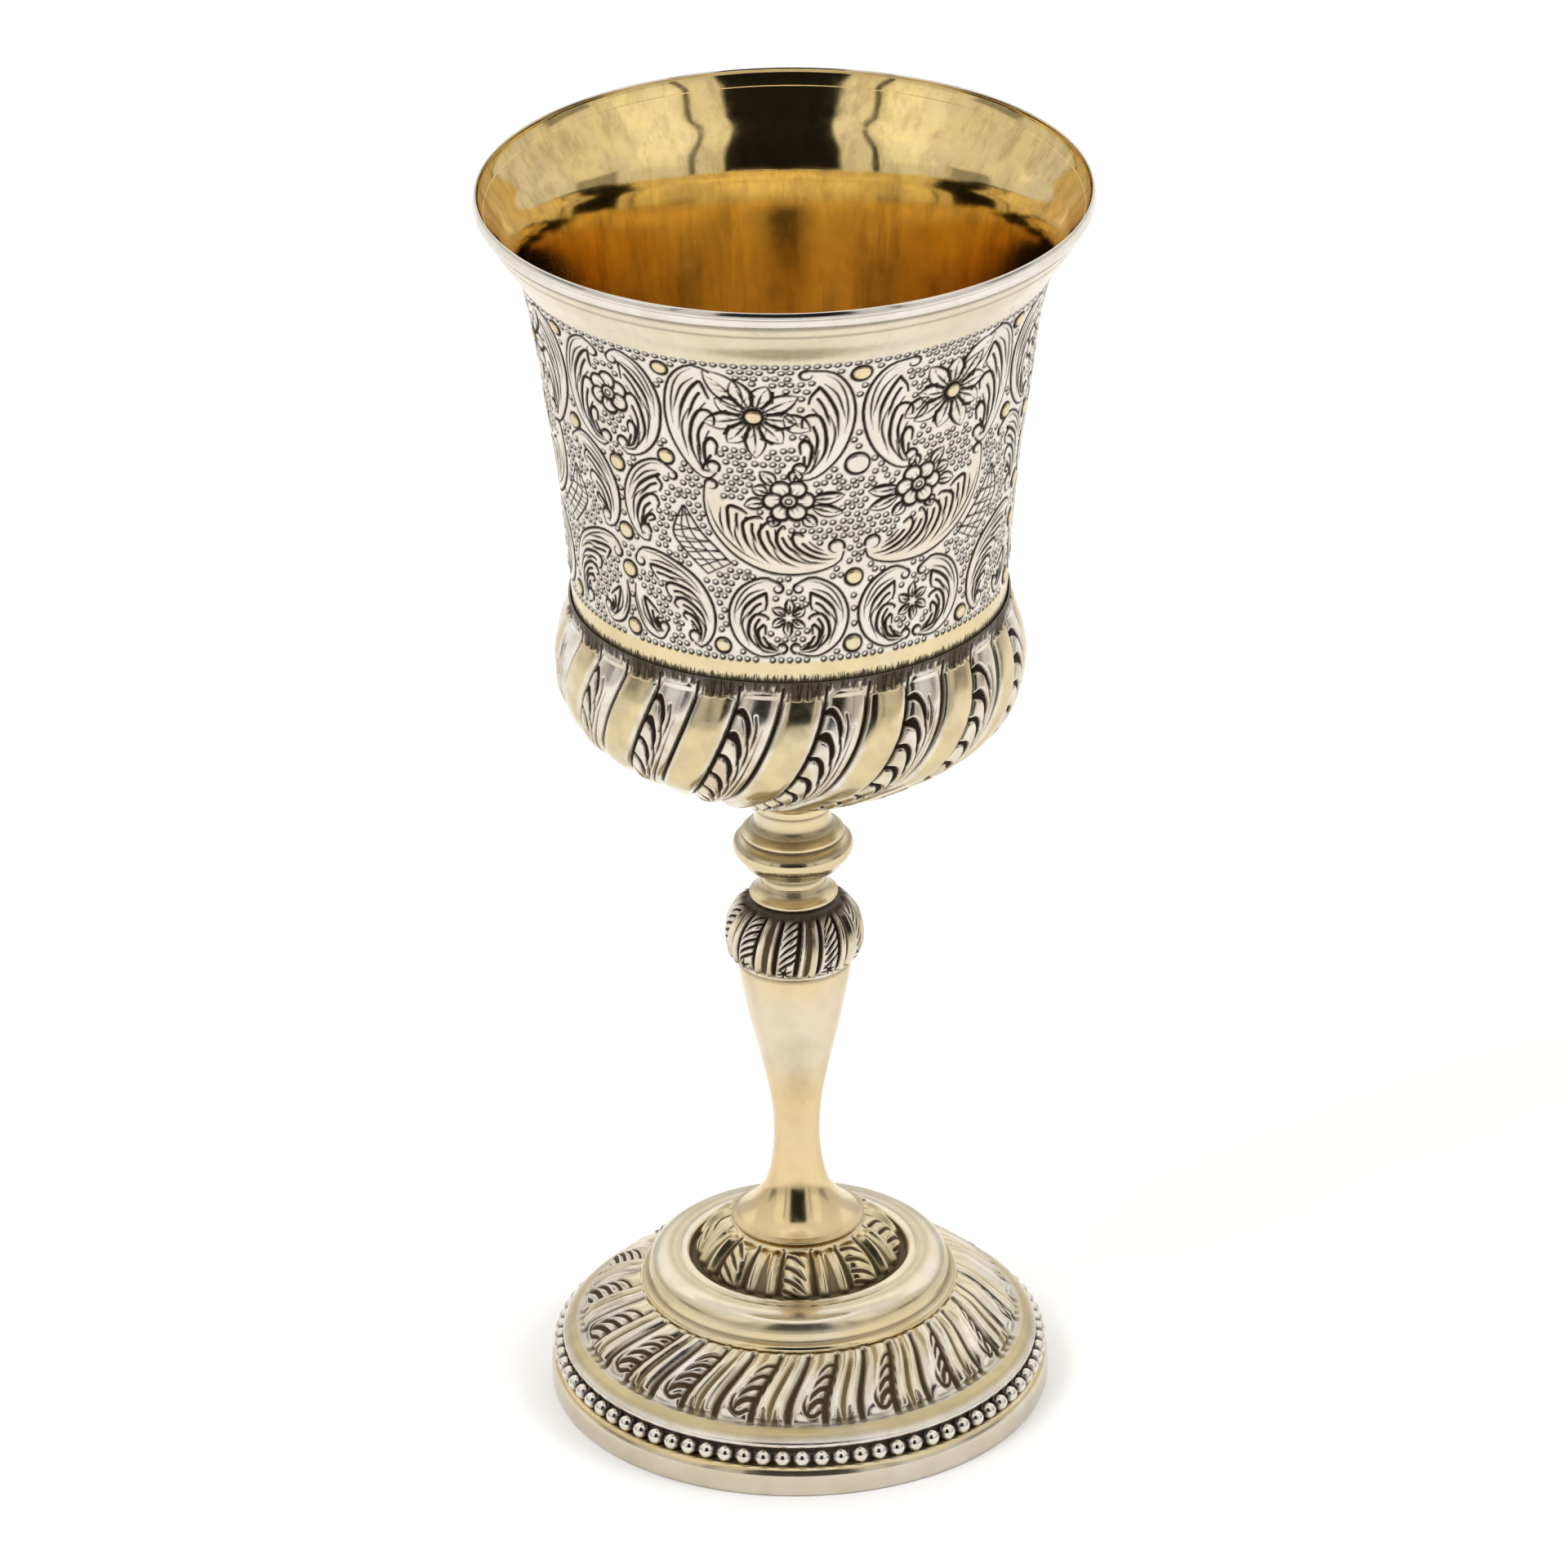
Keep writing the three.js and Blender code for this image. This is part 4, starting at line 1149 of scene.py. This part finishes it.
def tie_rod():
    outer = path((0, 12.6), (1.1, 12.6), profile((1.5, 13.0), (1.5, 22.2), step=0.06),
                 profile((1.5, 22.2), (1.5, 99.6), step=4.0))
    return revolve("tie_rod", outer, path((0, 99.6)), 48, relief=threaded)


def cup_boss():
    outer = profile((0, 99.8), (1.6, 99.8), (1.6, 94.4), (2.9, 94.4), (2.9, 95.2), (4.5, 95.2), (4.5, 99.6),
                    (8.6, 100), (8.6, 101), (8.0, 101), ease=0.15, step=1.0)
    return revolve("cup_boss", outer, path((0, 101)), PLAIN // 2, relief=shaded((94.8, 0.3, 0.3)))


def tie_nut():
    """A hexagon nut with both ends turned to a chamfer."""
    low, high, flat, corner, bore, chamfer, columns = 13.8, 16.2, 2.75, 3.17, 1.65, 0.35, 96
    outline = profile((bore, low), (2.6, low), (corner, low + chamfer), (corner, high - chamfer), (2.6, high),
                      (bore, high), step=0.06)
    azimuth = np.arange(columns) * TAU / columns
    across = flat / np.cos((azimuth + TAU / 12) % (TAU / 6) - TAU / 12)
    r = np.minimum(outline[:, :1], across)
    # the bore is darkened: painted shade inside the hole
    obj = hoop("tie_nut", r, outline[:, 1:], azimuth, 0.5 * (1 - smoothstep(r, bore, bore + 0.3)))
    obj.data.set_sharp_from_angle(angle=math.radians(35))
    return obj


for piece, body in ((tie_rod(), "cup"), (cup_boss(), "cup"), (tie_nut(), "nut")):
    hand_over(piece, body, brass)


# ---- stage ----
def world():
    """A light tent, and what the metal mirrors of it, at an azimuth from the lens's side and a rise."""
    sky = bpy.data.worlds.new("studio")
    bpy.context.scene.world = sky
    n = Nodes(sky)
    x, y, z = n.add("SeparateXYZ", {0: n.add("TexCoord", {})["Generated"]})
    level = n.ramp(z, 0.0, 0.9, 0.75, 1.0)
    azimuth = n.math("ABSOLUTE", n.math("ARCTAN2", x, n.times(y, -1.0)))
    rise = n.math("ARCSINE", z)

    def patch(left, right, low, high, soft):
        across = n.times(n.ramp(azimuth, left, left + soft), n.ramp(azimuth, right - soft, right, 1.0, 0.0))
        up = n.times(n.ramp(rise, low, low + soft), n.ramp(rise, high - soft, high, 1.0, 0.0))
        return n.times(across, up)

    parts = (
        (patch(-1.0, 0.46, 0.04, 1.05, 0.04), -0.985),     # black card round the lens
        (patch(0.68, 0.74, 0.04, 0.85, 0.01), -0.9),       # gaps beside the front screens
        (patch(0.76, 1.25, 0.25, 1.0, 0.05), 0.22),        # lit front screens
        (patch(1.30, 1.75, 0.0, 0.35, 0.06), -0.55),       # stands at the sides
        (patch(2.0, 3.6, 0.3, 0.9, 0.08), 0.35),           # lit back screens
        (n.ramp(rise, 1.14, 1.24), 0.35),                  # lit panel overhead
    )
    for shade, change in parts:
        level = n.times(level, n.plus(1.0, n.times(shade, change)))
    n.add("OutputWorld", {0: n.add("Background", {"Strength": level, "Color": colour(1.0, 0.99, 0.97)})[0]})


def floor():
    bpy.ops.mesh.primitive_plane_add(size=12, location=(0, 0, 0))
    ground = bpy.context.object
    ground.name = "studio_floor"
    material = bpy.data.materials.new("floor_paper")
    n = Nodes(material)
    grain = n.noise(n.add("TexCoord", {})["Object"], 3, 2)
    tint = n.mix(grain, colour(0.90, 0.90, 0.895), colour(0.92, 0.92, 0.915))
    n.add("OutputMaterial", {0: n.add("BsdfPrincipled", {"Base Color": tint, "Roughness": 0.85})[0]})
    ground.data.materials.append(material)


def camera():
    """The photograph's viewpoint: its place in mm, its turns in degrees and its lens."""
    place = Vector((-3.66, -1216.5, 706.6)) * MM
    yaw, pitch, roll = (math.radians(turn) for turn in (0.12, 26.81, -0.80))
    ahead = Vector((math.sin(yaw) * math.cos(pitch), math.cos(yaw) * math.cos(pitch), -math.sin(pitch)))
    right = Vector((math.cos(yaw), -math.sin(yaw), 0))
    above = right.cross(ahead)
    x = math.cos(roll) * right + math.sin(roll) * above
    y = -math.sin(roll) * right + math.cos(roll) * above
    data = bpy.data.cameras.new("camera")
    data.lens, data.sensor_width = 230.5, 36
    data.clip_start, data.clip_end = 0.01, 100
    eye = bpy.data.objects.new("camera", data)
    bpy.context.scene.collection.objects.link(eye)
    eye.matrix_world = Matrix.Translation(place) @ Matrix((x, y, -ahead)).transposed().to_4x4()
    bpy.context.scene.camera = eye


def lamp(name, place, size, power):
    """A square soft light aimed at the middle of the chalice, unseen in its reflections."""
    data = bpy.data.lights.new(name, "AREA")
    data.shape, data.size, data.energy = "SQUARE", size, power
    light = bpy.data.objects.new(name, data)
    light.location = place
    light.rotation_euler = (Vector((0, 0, 0.09)) - Vector(place)).to_track_quat("-Z", "Y").to_euler()
    light.visible_glossy = False
    bpy.context.scene.collection.objects.link(light)


world()
floor()
camera()
lamp("key", (-0.9, -0.7, 1.3), 0.7, 9)
lamp("fill", (1.0, -0.3, 0.9), 0.6, 5)
bpy.context.scene.view_settings.view_transform = "Standard"
